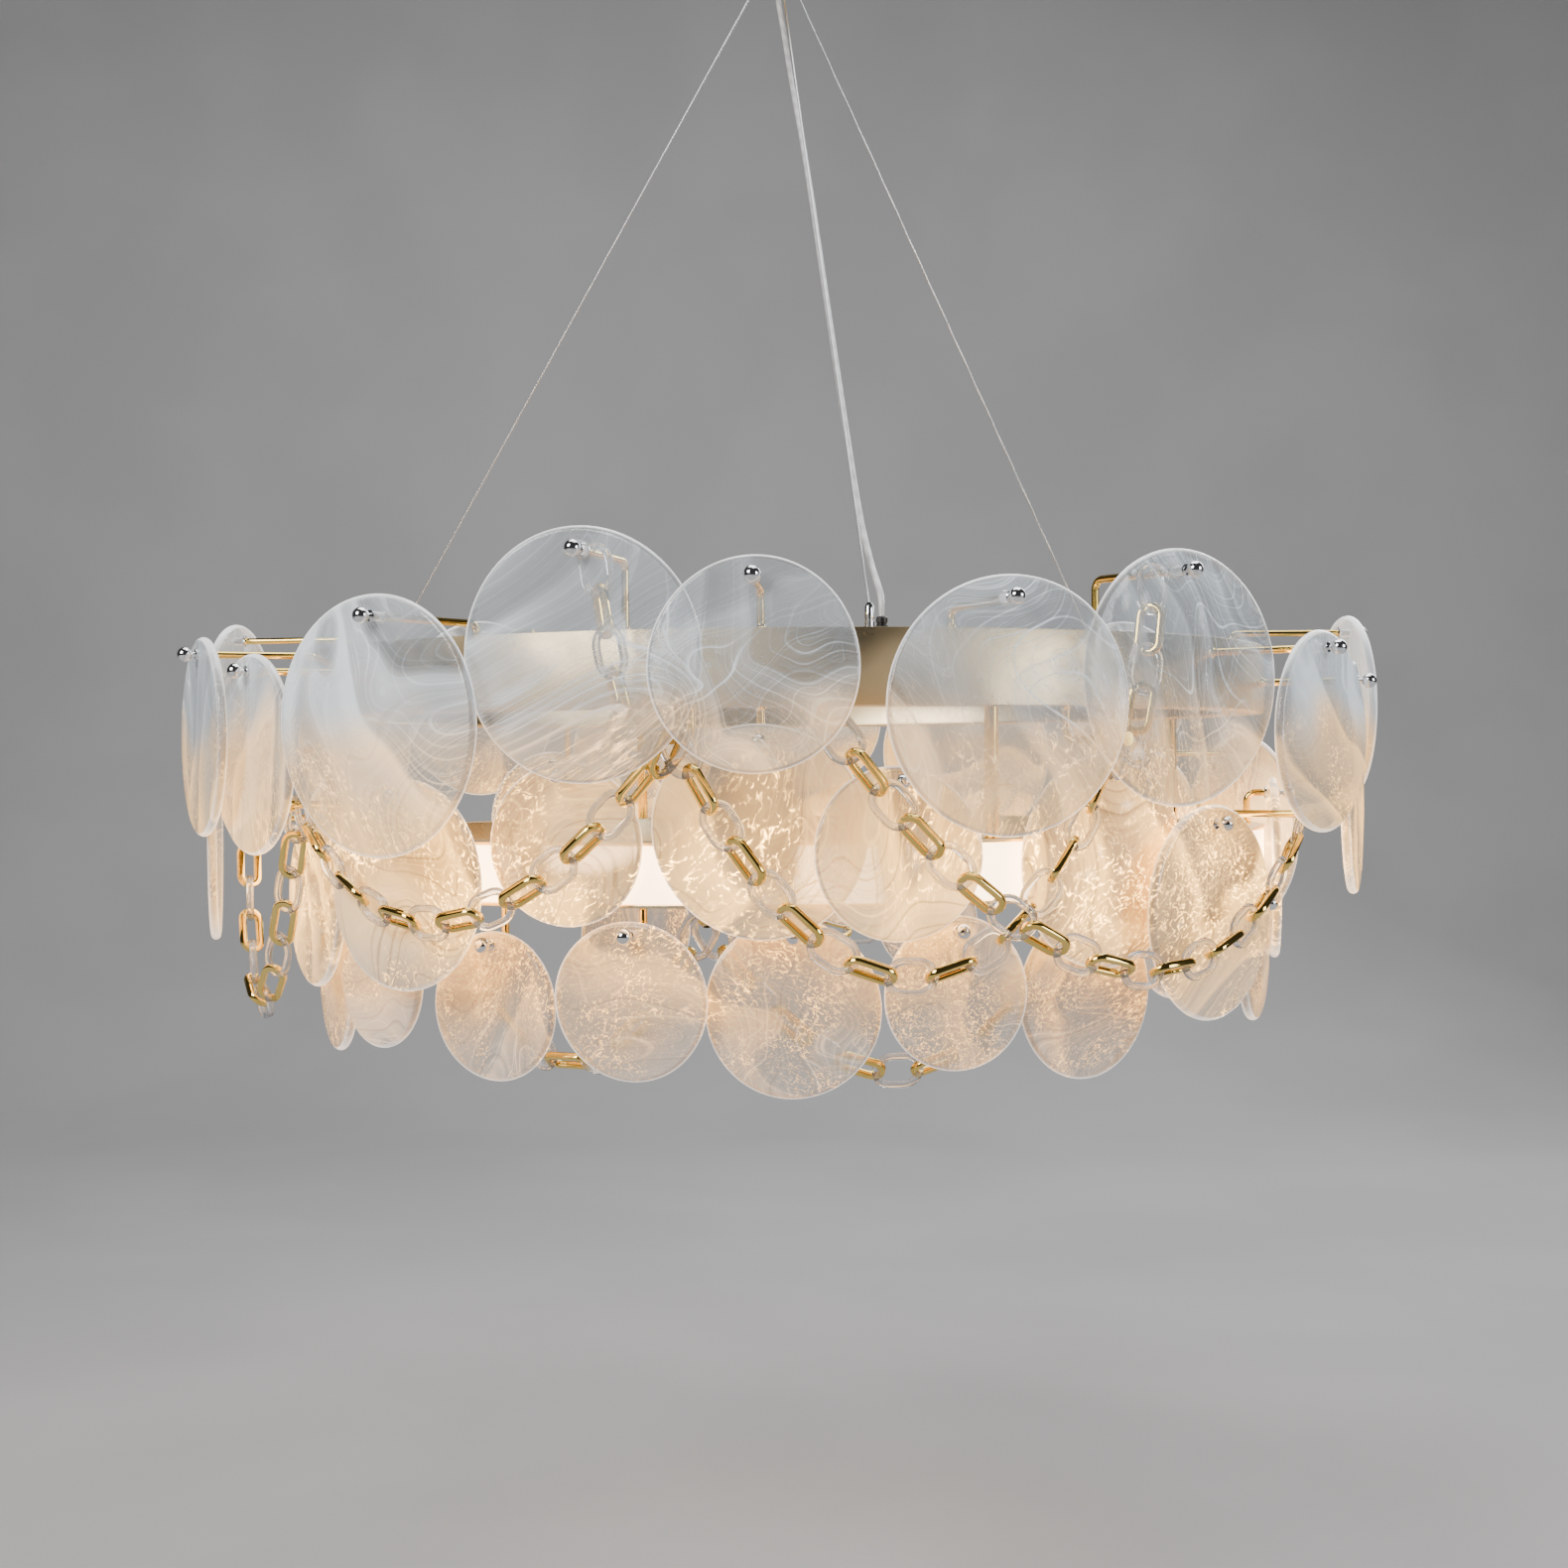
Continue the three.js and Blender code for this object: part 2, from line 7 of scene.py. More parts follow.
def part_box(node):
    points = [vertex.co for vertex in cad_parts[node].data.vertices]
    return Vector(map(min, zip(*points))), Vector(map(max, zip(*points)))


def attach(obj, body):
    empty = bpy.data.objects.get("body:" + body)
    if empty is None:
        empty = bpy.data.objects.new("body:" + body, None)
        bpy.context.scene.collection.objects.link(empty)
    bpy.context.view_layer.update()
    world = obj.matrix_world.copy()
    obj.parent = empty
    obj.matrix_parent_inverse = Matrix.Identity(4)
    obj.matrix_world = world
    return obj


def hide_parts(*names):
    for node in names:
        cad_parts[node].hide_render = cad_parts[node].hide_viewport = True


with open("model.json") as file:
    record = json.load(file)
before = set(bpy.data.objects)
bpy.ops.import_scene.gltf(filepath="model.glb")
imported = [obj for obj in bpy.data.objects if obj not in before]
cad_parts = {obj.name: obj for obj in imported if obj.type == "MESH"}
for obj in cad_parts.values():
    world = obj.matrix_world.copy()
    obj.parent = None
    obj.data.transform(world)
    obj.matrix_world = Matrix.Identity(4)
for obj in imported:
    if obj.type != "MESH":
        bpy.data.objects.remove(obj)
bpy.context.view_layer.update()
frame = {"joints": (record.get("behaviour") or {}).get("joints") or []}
mm = 0.001

# Ring chandelier. The ceiling is at zero and the viewer looks along +Y. Sizes of pieces are in
# millimetres until a mesh is made. Places of camera, lights and glow are in metres.


# An object of the scene from its data.
def linked(name, data):
    item = bpy.data.objects.new(name, data)
    bpy.context.scene.collection.objects.link(item)
    return item


# Camera, at the height of the discs.

view = {
    "place": (0, -1.519, -0.575),
    "roll": 0.5,
    "lens": 50.74,
    "sensor": 36,
    "shiftY": -17 / 1580,  # rows down, of the rows in the frame
}

cameraData = bpy.data.cameras.new("camera")
cameraData.lens = view["lens"]
cameraData.sensor_width = view["sensor"]
cameraData.shift_y = view["shiftY"]
camera = linked("camera", cameraData)
camera.location = view["place"]
camera.rotation_euler = (math.radians(90), math.radians(view["roll"]), 0)
bpy.context.scene.camera = camera
print("camera set")


# Node helpers.

def addNode(tree, kind, values=None, **settings):
    node = tree.nodes.new(kind)
    for key, value in settings.items():
        setattr(node, key, value)
    for key, value in (values or {}).items():
        if isinstance(value, bpy.types.NodeSocket):
            tree.links.new(value, node.inputs[key])
        else:
            node.inputs[key].default_value = value
    return node


def calc(tree, operation, first, second=0.0, clamp=False):
    node = addNode(tree, "ShaderNodeMath", {0: first, 1: second}, operation=operation, use_clamp=clamp)
    return node.outputs[0]


def plus(tree, first, second, clamp=False):
    return calc(tree, "ADD", first, second, clamp)


def times(tree, first, second, clamp=False):
    return calc(tree, "MULTIPLY", first, second, clamp)


def vectorCalc(tree, operation, first, second):
    return addNode(tree, "ShaderNodeVectorMath", {0: first, 1: second}, operation=operation).outputs


def scaled(tree, vector, factor):
    return addNode(tree, "ShaderNodeVectorMath", {0: vector, "Scale": factor}, operation="SCALE").outputs[0]


def spread(tree, value, low, high, toLow=0.0, toHigh=1.0):
    return addNode(tree, "ShaderNodeMapRange", {
        "Value": value, "From Min": low, "From Max": high, "To Min": toLow, "To Max": toHigh,
    }, interpolation_type="SMOOTHSTEP").outputs["Result"]


def objectPlace(tree):
    return addNode(tree, "ShaderNodeTexCoord").outputs["Object"]


def facingShare(tree, blend=0.5):
    return addNode(tree, "ShaderNodeLayerWeight", {"Blend": blend}).outputs["Facing"]


def parted(tree, color):
    return addNode(tree, "ShaderNodeSeparateColor", {0: color}).outputs


def feed(tree, target, sockets):
    for label, socket in sockets.items():
        tree.links.new(socket, target.inputs[label])


def mixColor(tree, amount, first, second):
    node = addNode(tree, "ShaderNodeMix", data_type="RGBA")
    for key, value in ((0, amount), (6, first), (7, second)):
        if isinstance(value, bpy.types.NodeSocket):
            tree.links.new(value, node.inputs[key])
        else:
            node.inputs[key].default_value = value
    return node.outputs[2]


def noise(tree, vector, scale, detail=2.0, roughness=0.5, distortion=0.0):
    return addNode(tree, "ShaderNodeTexNoise", {
        "Vector": vector, "Scale": scale, "Detail": detail, "Roughness": roughness,
        "Distortion": distortion,
    })


def newGroup(name, inputs, outputs):
    tree = bpy.data.node_groups.new(name, "ShaderNodeTree")
    for label, kind, value in inputs:
        socket = tree.interface.new_socket(label, in_out="INPUT", socket_type=kind)
        socket.default_value = value
    for label, kind in outputs:
        tree.interface.new_socket(label, in_out="OUTPUT", socket_type=kind)
    return tree, tree.nodes.new("NodeGroupInput"), tree.nodes.new("NodeGroupOutput")


def useGroup(tree, group, values=None):
    node = tree.nodes.new("ShaderNodeGroup")
    node.node_tree = group
    for key, value in (values or {}).items():
        node.inputs[key].default_value = value
    return node


def newMaterial(name, values):
    material = bpy.data.materials.new(name)
    material.use_nodes = True
    tree = material.node_tree
    shader = tree.nodes["Principled BSDF"]
    for key, value in values.items():
        shader.inputs[key].default_value = value
    return material, tree, shader


def bumped(tree, shader, height, strength, distance):
    node = addNode(tree, "ShaderNodeBump", {"Height": height, "Strength": strength, "Distance": distance})
    feed(tree, shader, {"Normal": node.outputs["Normal"]})


# Swirls of white in clear melted glass, with a painted glow of the lit ring on it (emission colour, not light cast by
# the ring) and the fine crinkle of its cast face.

swirling = {
    "slants": ((2.0, 1.3, 1.7), (-1.5, -2.2, 2.1)), "foldStart": 0.8, "foldPeak": 1.08,
    "waviness": 0.06, "fullLevel": -0.66, "ringLevel": -0.634, "ringReach": 0.06, "ringCore": 0.01, "ringGain": 1.9,
    "rippleScale": 38.0, "threadScale": 1.6,
    # The warm light, the cold glow and the valley shade among these colours are painted light and shade.
    "thin": (0.55, 0.62, 0.68, 1.0), "dense": (0.96, 0.985, 1.0, 1.0), "paintedWarmLight": (0.98, 0.8, 0.55, 1.0),
    "seam": (0.33, 0.23, 0.13, 1.0), "paintedValleyShade": (0.55, 0.38, 0.22, 1.0), "paintedColdGlow": (0.3, 0.345, 0.38),
}


def buildSwirl():
    tree, given, out = newGroup("castSwirl", [
        ("Scale", "NodeSocketFloat", 9.0), ("Warp", "NodeSocketFloat", 0.05),
        ("Clouds", "NodeSocketFloat", 0.5), ("Wisps", "NodeSocketFloat", 0.7),
        ("Strands", "NodeSocketFloat", 30.0), ("Crinkle", "NodeSocketFloat", 0.6),
        ("Grain", "NodeSocketFloat", 110.0), ("Seams", "NodeSocketFloat", 0.5),
        ("Glow Power", "NodeSocketFloat", 1.0),
        ("Glow Top", "NodeSocketFloat", -0.542), ("Glow Edge", "NodeSocketFloat", 0.01),
        ("Glow Foot", "NodeSocketFloat", -0.8), ("Glow Tint", "NodeSocketColor", (1.0, 0.8, 0.56, 1.0)),
    ], [
        ("Color", "NodeSocketColor"), ("Veil", "NodeSocketFloat"), ("Glow", "NodeSocketColor"),
        ("Height", "NodeSocketFloat"), ("Roughness", "NodeSocketFloat"),
    ])
    give = given.outputs
    place = objectPlace(tree)

    def stirred(vector, factor, amount):
        stir = noise(tree, vector, times(tree, give["Scale"], factor), 0.0).outputs["Color"]
        centred = vectorCalc(tree, "SUBTRACT", stir, (0.5, 0.5, 0.5))[0]
        moved = scaled(tree, centred, times(tree, give["Warp"], amount))
        return vectorCalc(tree, "ADD", vector, moved)[0], parted(tree, stir)

    def threads(field, detail, low, high):
        line = addNode(tree, "ShaderNodeTexNoise", {
            "W": times(tree, field, give["Strands"]), "Scale": swirling["threadScale"], "Detail": detail,
            "Roughness": 0.72,
        }, noise_dimensions="1D").outputs[0]
        return spread(tree, line, low, high)

    # A sheet of milky glass thickens along the field and ends in a soft fold.
    def curtain(field, share):
        phase = calc(tree, "FRACT", times(tree, field, times(tree, give["Strands"], share)))
        return times(tree, phase, spread(tree, phase, 1.0, swirling["foldStart"], 0.0, swirling["foldPeak"]))

    once, hues = stirred(place, 0.5, 4.0)
    twice, curls = stirred(once, 1.7, 1.0)
    bent = parted(tree, noise(tree, twice, times(tree, give["Scale"], 0.8), 2.0, 0.42).outputs["Color"])
    fields = []
    for part, slant in zip(bent, swirling["slants"]):
        fields.append(plus(tree, part, vectorCalc(tree, "DOT_PRODUCT", twice, slant)["Value"]))

    sheet, crossing = curtain(fields[0], 0.08), curtain(fields[1], 0.06)
    folds = plus(tree, calc(tree, "POWER", sheet, 1.5), calc(tree, "POWER", crossing, 2.0))
    milk = spread(tree, hues[0], 0.4, 0.6, 0.45, 1.0)
    clouds = times(tree, times(tree, times(tree, folds, 0.6), milk), give["Clouds"])
    lines = plus(tree, threads(fields[0], 4.0, 0.5, 0.76), threads(fields[1], 4.0, 0.52, 0.78))
    patches = spread(tree, curls[1], 0.38, 0.6, 0.25, 1.0)
    wisps = times(tree, times(tree, lines, patches), give["Wisps"])
    veil = plus(tree, wisps, clouds, True)

    # The painted glow starts under a wavy edge, is strongest beside the lit ring and fades to the foot.
    level = addNode(tree, "ShaderNodeSeparateXYZ", {0: place}).outputs["Z"]
    waved = plus(tree, level, times(tree, calc(tree, "SUBTRACT", curls[0], 0.5), swirling["waviness"]))
    lit = spread(tree, waved, give["Glow Top"], calc(tree, "SUBTRACT", give["Glow Top"], give["Glow Edge"]))
    fade = spread(tree, level, give["Glow Foot"], swirling["fullLevel"], 0.1, 1.0)
    away = calc(tree, "ABSOLUTE", calc(tree, "SUBTRACT", level, swirling["ringLevel"]))
    gain = spread(tree, away, swirling["ringReach"], swirling["ringCore"], 1.0, swirling["ringGain"])
    lit = times(tree, times(tree, lit, fade), gain)

    # Painted glints, bright flecks in the emission that also raise the bump, with painted shade in the darker valleys
    # between them, where the face is crinkled.
    grain = addNode(tree, "ShaderNodeTexNoise", {
        "Vector": once, "Scale": give["Grain"], "Detail": 3.0, "Roughness": 0.6, "Offset": 0.9, "Gain": 2.0,
        "Distortion": 0.5,
    }, noise_type="RIDGED_MULTIFRACTAL", normalize=False).outputs[0]
    ripple = noise(tree, place, swirling["rippleScale"], 1.0).outputs[0]
    where = times(tree, spread(tree, curls[2], 0.3, 0.56), give["Crinkle"])
    crinkleGlints = times(tree, spread(tree, grain, 1.1, 2.3), where)
    crinkleGlints = times(tree, crinkleGlints, spread(tree, ripple, 0.36, 0.64, 0.15, 1.1))
    shadedValleys = times(tree, times(tree, where, lit), calc(tree, "SUBTRACT", 1.0, crinkleGlints, True), True)
    seams = times(tree, threads(fields[1], 3.0, 0.47, 0.3), give["Seams"])

    # Painted glow: the emission stands in for the lit ring's light through the glass. It is warm where lit, with a
    # cold painted glow on the unlit veil.
    shine = plus(tree, times(tree, veil, 0.3), times(tree, crinkleGlints, 4.5))
    shine = plus(tree, shine, times(tree, calc(tree, "POWER", sheet, 2.0), 0.34))
    shine = times(tree, plus(tree, shine, 0.05), lit)
    power = times(tree, shine, times(tree, give["Glow Power"], calc(tree, "SUBTRACT", 1.0, seams)))
    unlit = times(tree, veil, calc(tree, "SUBTRACT", 1.0, lit, True))
    glow = vectorCalc(tree, "ADD", scaled(tree, give["Glow Tint"], power), scaled(tree, swirling["paintedColdGlow"], unlit))[0]

    tint = mixColor(tree, veil, swirling["thin"], swirling["dense"])
    # Painted warm light: the base colour turns warm where the painted glow falls.
    tint = mixColor(tree, times(tree, lit, 0.6, True), tint, swirling["paintedWarmLight"])
    tint = mixColor(tree, seams, tint, swirling["seam"])
    # Painted shade: the base colour darkens in the crinkle's valleys where lit.
    tint = mixColor(tree, times(tree, shadedValleys, 0.55), tint, swirling["paintedValleyShade"])
    cover = plus(tree, veil, times(tree, shadedValleys, 0.25))
    cover = plus(tree, cover, times(tree, shine, 0.5), True)
    height = plus(tree, ripple, times(tree, crinkleGlints, 0.55))
    height = plus(tree, height, times(tree, sheet, 0.3))
    feed(tree, out, {
        "Color": tint, "Veil": cover, "Glow": glow, "Height": height,
        "Roughness": plus(tree, times(tree, veil, 0.2), 0.05),
    })
    return tree


# Faint smears and a little unevenness on polished metal.
def buildPolish():
    tree, given, out = newGroup("polishWear", [
        ("Scale", "NodeSocketFloat", 40.0), ("Low", "NodeSocketFloat", 0.12),
        ("High", "NodeSocketFloat", 0.28), ("Tint", "NodeSocketColor", (0.8, 0.6, 0.3, 1.0)),
        ("Dull Tint", "NodeSocketColor", (0.7, 0.5, 0.25, 1.0)),
    ], [("Color", "NodeSocketColor"), ("Roughness", "NodeSocketFloat"), ("Height", "NodeSocketFloat")])
    give = given.outputs
    place = objectPlace(tree)
    amount = spread(tree, noise(tree, place, give["Scale"], 4.0, 0.6, 0.4).outputs[0], 0.35, 0.7)
    rough = addNode(tree, "ShaderNodeMapRange", {"Value": amount, "To Min": give["Low"], "To Max": give["High"]})
    feed(tree, out, {
        "Color": mixColor(tree, amount, give["Tint"], give["Dull Tint"]), "Roughness": rough.outputs["Result"],
        "Height": noise(tree, place, 900.0, 1.0).outputs[0],
    })
    return tree


castSwirl = buildSwirl()
polishWear = buildPolish()

glassTiers = {
    "upper": {"Scale": 8.0, "Warp": 0.06, "Clouds": 1.3, "Wisps": 0.75, "Strands": 58.0, "Crinkle": 0.7,
              "Grain": 200.0, "Seams": 0.15, "Glow Top": -0.53, "Glow Edge": 0.034, "Glow Foot": -0.8,
              "Glow Tint": (1.0, 0.52, 0.13, 1.0), "Glow Power": 2.2},
    "middle": {"Scale": 8.0, "Warp": 0.06, "Clouds": 0.6, "Wisps": 0.5, "Strands": 60.0, "Crinkle": 1.2,
               "Grain": 170.0, "Seams": 0.5, "Glow Top": -0.53, "Glow Edge": 0.05, "Glow Foot": -0.8,
               "Glow Tint": (1.0, 0.51, 0.11, 1.0), "Glow Power": 4.4},
    "lower": {"Scale": 9.0, "Warp": 0.05, "Clouds": 0.35, "Wisps": 0.6, "Strands": 45.0, "Crinkle": 1.4,
              "Grain": 260.0, "Seams": 0.4, "Glow Top": -0.62, "Glow Edge": 0.04, "Glow Foot": -0.82,
              "Glow Tint": (1.0, 0.46, 0.08, 1.0), "Glow Power": 3.2},
}
glassBase = {"upper": 0.22, "middle": 0.66, "lower": 0.36}


# The fire-rounded rim is denser than the face. It is brighter from a painted highlight: an emitted shine and a pale
# colour toward its turned edges, with painted shade, a dark colour, where it faces the viewer.
rimLook = {"shine": (0.62, 0.6, 0.57), "middle": (0.34, 0.34, 0.35, 1.0), "edge": (0.92, 0.92, 0.92, 1.0)}


def makeGlass(tier, rim=False):
    material, tree, shader = newMaterial(f"castGlass{tier.capitalize()}{'Rim' if rim else ''}", {
        "IOR": 1.5, "Metallic": 0.0, "Transmission Weight": 0.0, "Coat Weight": 0.0,
        "Specular IOR Level": 0.9, "Emission Strength": 1.0,
    })
    swirl = useGroup(tree, castSwirl, glassTiers[tier]).outputs
    facing = facingShare(tree)
    if rim:
        # Painted highlight and painted shade on the rim, by how far it turns from the viewer.
        shine = scaled(tree, rimLook["shine"], spread(tree, facing, 0.35, 0.75))
        glow = vectorCalc(tree, "ADD", swirl["Glow"], shine)[0]
        color = mixColor(tree, spread(tree, facing, 0.1, 0.5), rimLook["middle"], rimLook["edge"])
        edge = spread(tree, facing, 0.05, 0.5, 0.15, 0.8)
    else:
        glow, color = swirl["Glow"], swirl["Color"]
        edge = times(tree, calc(tree, "POWER", facing, 2.0), 0.9)
    body = plus(tree, times(tree, swirl["Veil"], 0.8), glassBase[tier])
    # The emission is the painted glow; the glass is no lamp.
    feed(tree, shader, {
        "Base Color": color, "Emission Color": glow, "Roughness": swirl["Roughness"],
        "Alpha": plus(tree, body, edge, True),
    })
    bumped(tree, shader, swirl["Height"], 0.6, 0.0024)
    return material


# The inner face of a disc, clear and lightly rippled, under the swirls of the outer one.
def makeGlassBack():
    material, tree, shader = newMaterial("castGlassBack", {
        "Base Color": (0.9, 0.93, 0.95, 1.0), "IOR": 1.5, "Roughness": 0.06, "Specular IOR Level": 0.9,
    })
    ripple = noise(tree, objectPlace(tree), 45.0, 1.0).outputs[0]
    edge = times(tree, calc(tree, "POWER", facingShare(tree), 3.0), 0.6)
    film = spread(tree, ripple, 0.3, 0.7, 0.03, 0.1)
    feed(tree, shader, {"Alpha": plus(tree, film, edge, True)})
    bumped(tree, shader, ripple, 0.3, 0.001)
    return material


def makeMetal(name, scale, low, high, tint, dull, strength=0.05):
    material, tree, shader = newMaterial(name, {"Metallic": 1.0})
    wear = useGroup(tree, polishWear, {
        "Scale": scale, "Low": low, "High": high, "Tint": tint, "Dull Tint": dull,
    }).outputs
    feed(tree, shader, {"Base Color": wear["Color"], "Roughness": wear["Roughness"]})
    bumped(tree, shader, wear["Height"], strength, 0.0002)
    return material


# Clear links, with painted shade: a little darker where the face turns away.
def makeAcrylic():
    material, tree, shader = newMaterial("clearAcrylic", {
        "IOR": 1.49, "Roughness": 0.03, "Metallic": 0.0, "Transmission Weight": 0.8,
    })
    flaws = noise(tree, objectPlace(tree), 90.0, 1.0).outputs[0]
    tint = mixColor(tree, spread(tree, flaws, 0.4, 0.65), (0.8, 0.81, 0.83, 1.0), (0.96, 0.96, 0.97, 1.0))
    turned = spread(tree, facingShare(tree, 0.45), 0.3, 0.8)
    feed(tree, shader, {"Base Color": mixColor(tree, turned, tint, (0.42, 0.43, 0.46, 1.0))})
    bumped(tree, shader, flaws, 0.15, 0.001)
    return material


def makeDiffuser():
    material, tree, shader = newMaterial("litDiffuser", {
        "Base Color": (1.0, 0.93, 0.82, 1.0), "Roughness": 0.6, "Emission Strength": 7.0,
    })
    patch = spread(tree, noise(tree, objectPlace(tree), 11.0, 1.0).outputs[0], 0.35, 0.65)
    feed(tree, shader, {"Emission Color": mixColor(tree, patch, (1.0, 0.7, 0.42, 1.0), (1.0, 0.76, 0.48, 1.0))})
    return material


def makePlain(name, scale, first, second, roughness, strength):
    material, tree, shader = newMaterial(name, {"Roughness": roughness})
    field = noise(tree, objectPlace(tree), scale, 3.0).outputs[0]
    feed(tree, shader, {"Base Color": mixColor(tree, spread(tree, field, 0.35, 0.65), first, second)})
    bumped(tree, shader, field, strength, 0.0004)
    return material


# Fine slanting strands, in the cord's jacket and in the wires, with painted shade: the colour is darker in the
# grooves of their bump.
def makeStranded(name, values, wave, dark, bright, strength, distance):
    material, tree, shader = newMaterial(name, values)
    lay = addNode(tree, "ShaderNodeTexWave", {"Vector": objectPlace(tree), **wave},
                  bands_direction="DIAGONAL").outputs["Fac"]
    feed(tree, shader, {"Base Color": mixColor(tree, lay, dark, bright)})
    bumped(tree, shader, lay, strength, distance)
    return material


glass = {tier: makeGlass(tier) for tier in glassTiers}
glassRim = {tier: makeGlass(tier, True) for tier in glassTiers}
glassBack = makeGlassBack()
polishedGilt = makeMetal("polishedGilt", 35.0, 0.03, 0.11, (0.93, 0.68, 0.21, 1.0), (0.84, 0.59, 0.15, 1.0))
satinGilt = makeMetal("satinGilt", 18.0, 0.26, 0.4, (0.86, 0.68, 0.41, 1.0), (0.77, 0.6, 0.35, 1.0), 0.12)
polishedChrome = makeMetal("polishedChrome", 60.0, 0.04, 0.12, (0.88, 0.88, 0.89, 1.0), (0.8, 0.8, 0.82, 1.0))
zincPlate = makeMetal("zincPlate", 25.0, 0.3, 0.45, (0.72, 0.73, 0.74, 1.0), (0.62, 0.63, 0.65, 1.0), 0.1)
darkFerrule = makeMetal("darkFerrule", 50.0, 0.25, 0.4, (0.09, 0.085, 0.08, 1.0), (0.05, 0.05, 0.05, 1.0))
clearAcrylic = makeAcrylic()
litDiffuser = makeDiffuser()
clearJacket = makeStranded(
    "clearJacket", {"Roughness": 0.28, "IOR": 1.45, "Specular IOR Level": 0.8, "Coat Weight": 0.3},
    {"Scale": 38.0, "Distortion": 1.2, "Detail": 1.0}, (0.62, 0.62, 0.63, 1.0), (0.78, 0.78, 0.79, 1.0), 0.5, 0.0006)
strandedWire = makeStranded(
    "strandedWire", {"Metallic": 1.0, "Roughness": 0.3},
    {"Scale": 240.0, "Distortion": 0.4}, (0.6, 0.61, 0.62, 1.0), (0.92, 0.92, 0.93, 1.0), 0.4, 0.0002)
stripWhite = makePlain("stripWhite", 60.0, (0.86, 0.84, 0.76, 1.0), (0.94, 0.92, 0.85, 1.0), 0.7, 0.1)
print("materials made")


# Mesh helpers, on lists of points in millimetres and faces.

onAxis = 1e-6


def outward(azimuth):
    angle = math.radians(azimuth)
    return Vector((math.sin(angle), -math.cos(angle), 0))


def placed(azimuth, reach, level):
    point = outward(azimuth) * reach
    point.z = level
    return point


def tube(points, radius, sides, closed=False, square=1.0, seed=None):
    vertices, faces = [], []
    count = len(points)
    if seed is None:
        first = (points[1] - points[0]).normalized()
        steep = abs(first.z) > 0.7
        seed = Vector((1, 0, 0) if steep else (0, 0, 1)).cross(first).normalized()
    side = seed
    for i, point in enumerate(points):
        before = points[i - 1] if closed or i else point
        after = points[(i + 1) % count] if closed or i + 1 < count else point
        along = ((point - before).normalized() + (after - point).normalized()).normalized()
        side = (side - along * side.dot(along)).normalized()
        up = along.cross(side)
        for k in range(sides):
            angle = 2 * math.pi * k / sides + math.pi / sides
            over, rise = math.cos(angle), math.sin(angle)
            over = math.copysign(abs(over) ** square, over)
            rise = math.copysign(abs(rise) ** square, rise)
            vertices.append(point + side * radius * over + up * radius * rise)
    for i in range(count if closed else count - 1):
        for k in range(sides):
            a, b = i * sides + k, i * sides + (k + 1) % sides
            c, d = (a + sides) % len(vertices), (b + sides) % len(vertices)
            faces.append((a, b, d, c))
    if not closed:
        faces.append(tuple(range(sides - 1, -1, -1)))
        faces.append(tuple(range((count - 1) * sides, count * sides)))
    return vertices, faces


def lathe(profile, steps, turn=Matrix.Identity(4)):
    vertices, faces, rings = [], [], []
    for radius, level in profile:
        if radius < onAxis:
            rings.append([len(vertices)] * steps)
            vertices.append(turn @ Vector((0, 0, level)))
            continue
        rings.append([len(vertices) + k for k in range(steps)])
        for k in range(steps):
            angle = 2 * math.pi * k / steps
            vertices.append(turn @ Vector((radius * math.cos(angle), radius * math.sin(angle), level)))
    for lower, upper in zip(rings, rings[1:]):
        for k in range(steps):
            face = [lower[k], lower[(k + 1) % steps], upper[(k + 1) % steps], upper[k]]
            face = [corner for i, corner in enumerate(face) if corner not in face[:i]]
            if len(face) > 2:
                faces.append(tuple(face))
    return vertices, faces


# Cuts each corner of a closed section with a small bevel, rounded by one more point.
def eased(section, size, bulge=0.3):
    points = [Vector(point) for point in section]
    result = []
    for i, point in enumerate(points):
        before = (points[i - 1] - point).normalized()
        after = (points[(i + 1) % len(points)] - point).normalized()
        result += [tuple(point + before * size), tuple(point + (before + after) * size * bulge),
                   tuple(point + after * size)]
    return result + result[:1]


# A piece from parts in millimetres. Edges sharper than the angle stay sharp.
def makePiece(name, parts, material, body="fixture", sharp=35, replaced=()):
    vertices, faces = [], []
    for points, sides in parts:
        start = len(vertices)
        vertices += [point * mm for point in points]
        faces += [tuple(corner + start for corner in face) for face in sides]
    mesh = bpy.data.meshes.new(name)
    mesh.from_pydata([tuple(point) for point in vertices], [], faces)
    mesh.validate()
    mesh.polygons.foreach_set("use_smooth", [True] * len(mesh.polygons))
    mesh.set_sharp_from_angle(angle=math.radians(sharp))
    mesh.materials.append(material)
    piece = linked(name, mesh)
    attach(piece, body)
    if replaced:
        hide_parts(*replaced)
    return piece


# Hoops, rods and studs.

hoops = {
    "radius": 323, "depth": 28, "sheet": 2, "ease": 0.5, "steps": 240,
    "upperTop": -499, "upperHeight": 43, "spacing": 73.5, "lowerHeight": 36,
    "riserRadius": 4, "risers": (22, 112, 202, 292),
    "socketSide": 7, "socketSteps": 32, "socketProfile": (
        (0, -0.8), (3.2, -0.8), (3.2, 1.4), (2.8, 1.8), (2.8, 2.4), (3.2, 2.8), (3.2, 5.4), (2.6, 6), (0, 6)),
    "riserSides": 24, "brazed": 0.8, "diffuserEase": 0.4, "stripEase": 0.2,
    "diffuserWall": 3, "diffuserInset": 1, "gap": 0.3, "stripWall": 1.5, "stripHeight": 12,
}
upperTop = hoops["upperTop"]
upperFoot = upperTop - hoops["upperHeight"]
lowerTop = upperFoot - hoops["spacing"]
lowerFoot = lowerTop - hoops["lowerHeight"]
hoopInner = hoops["radius"] - hoops["depth"]

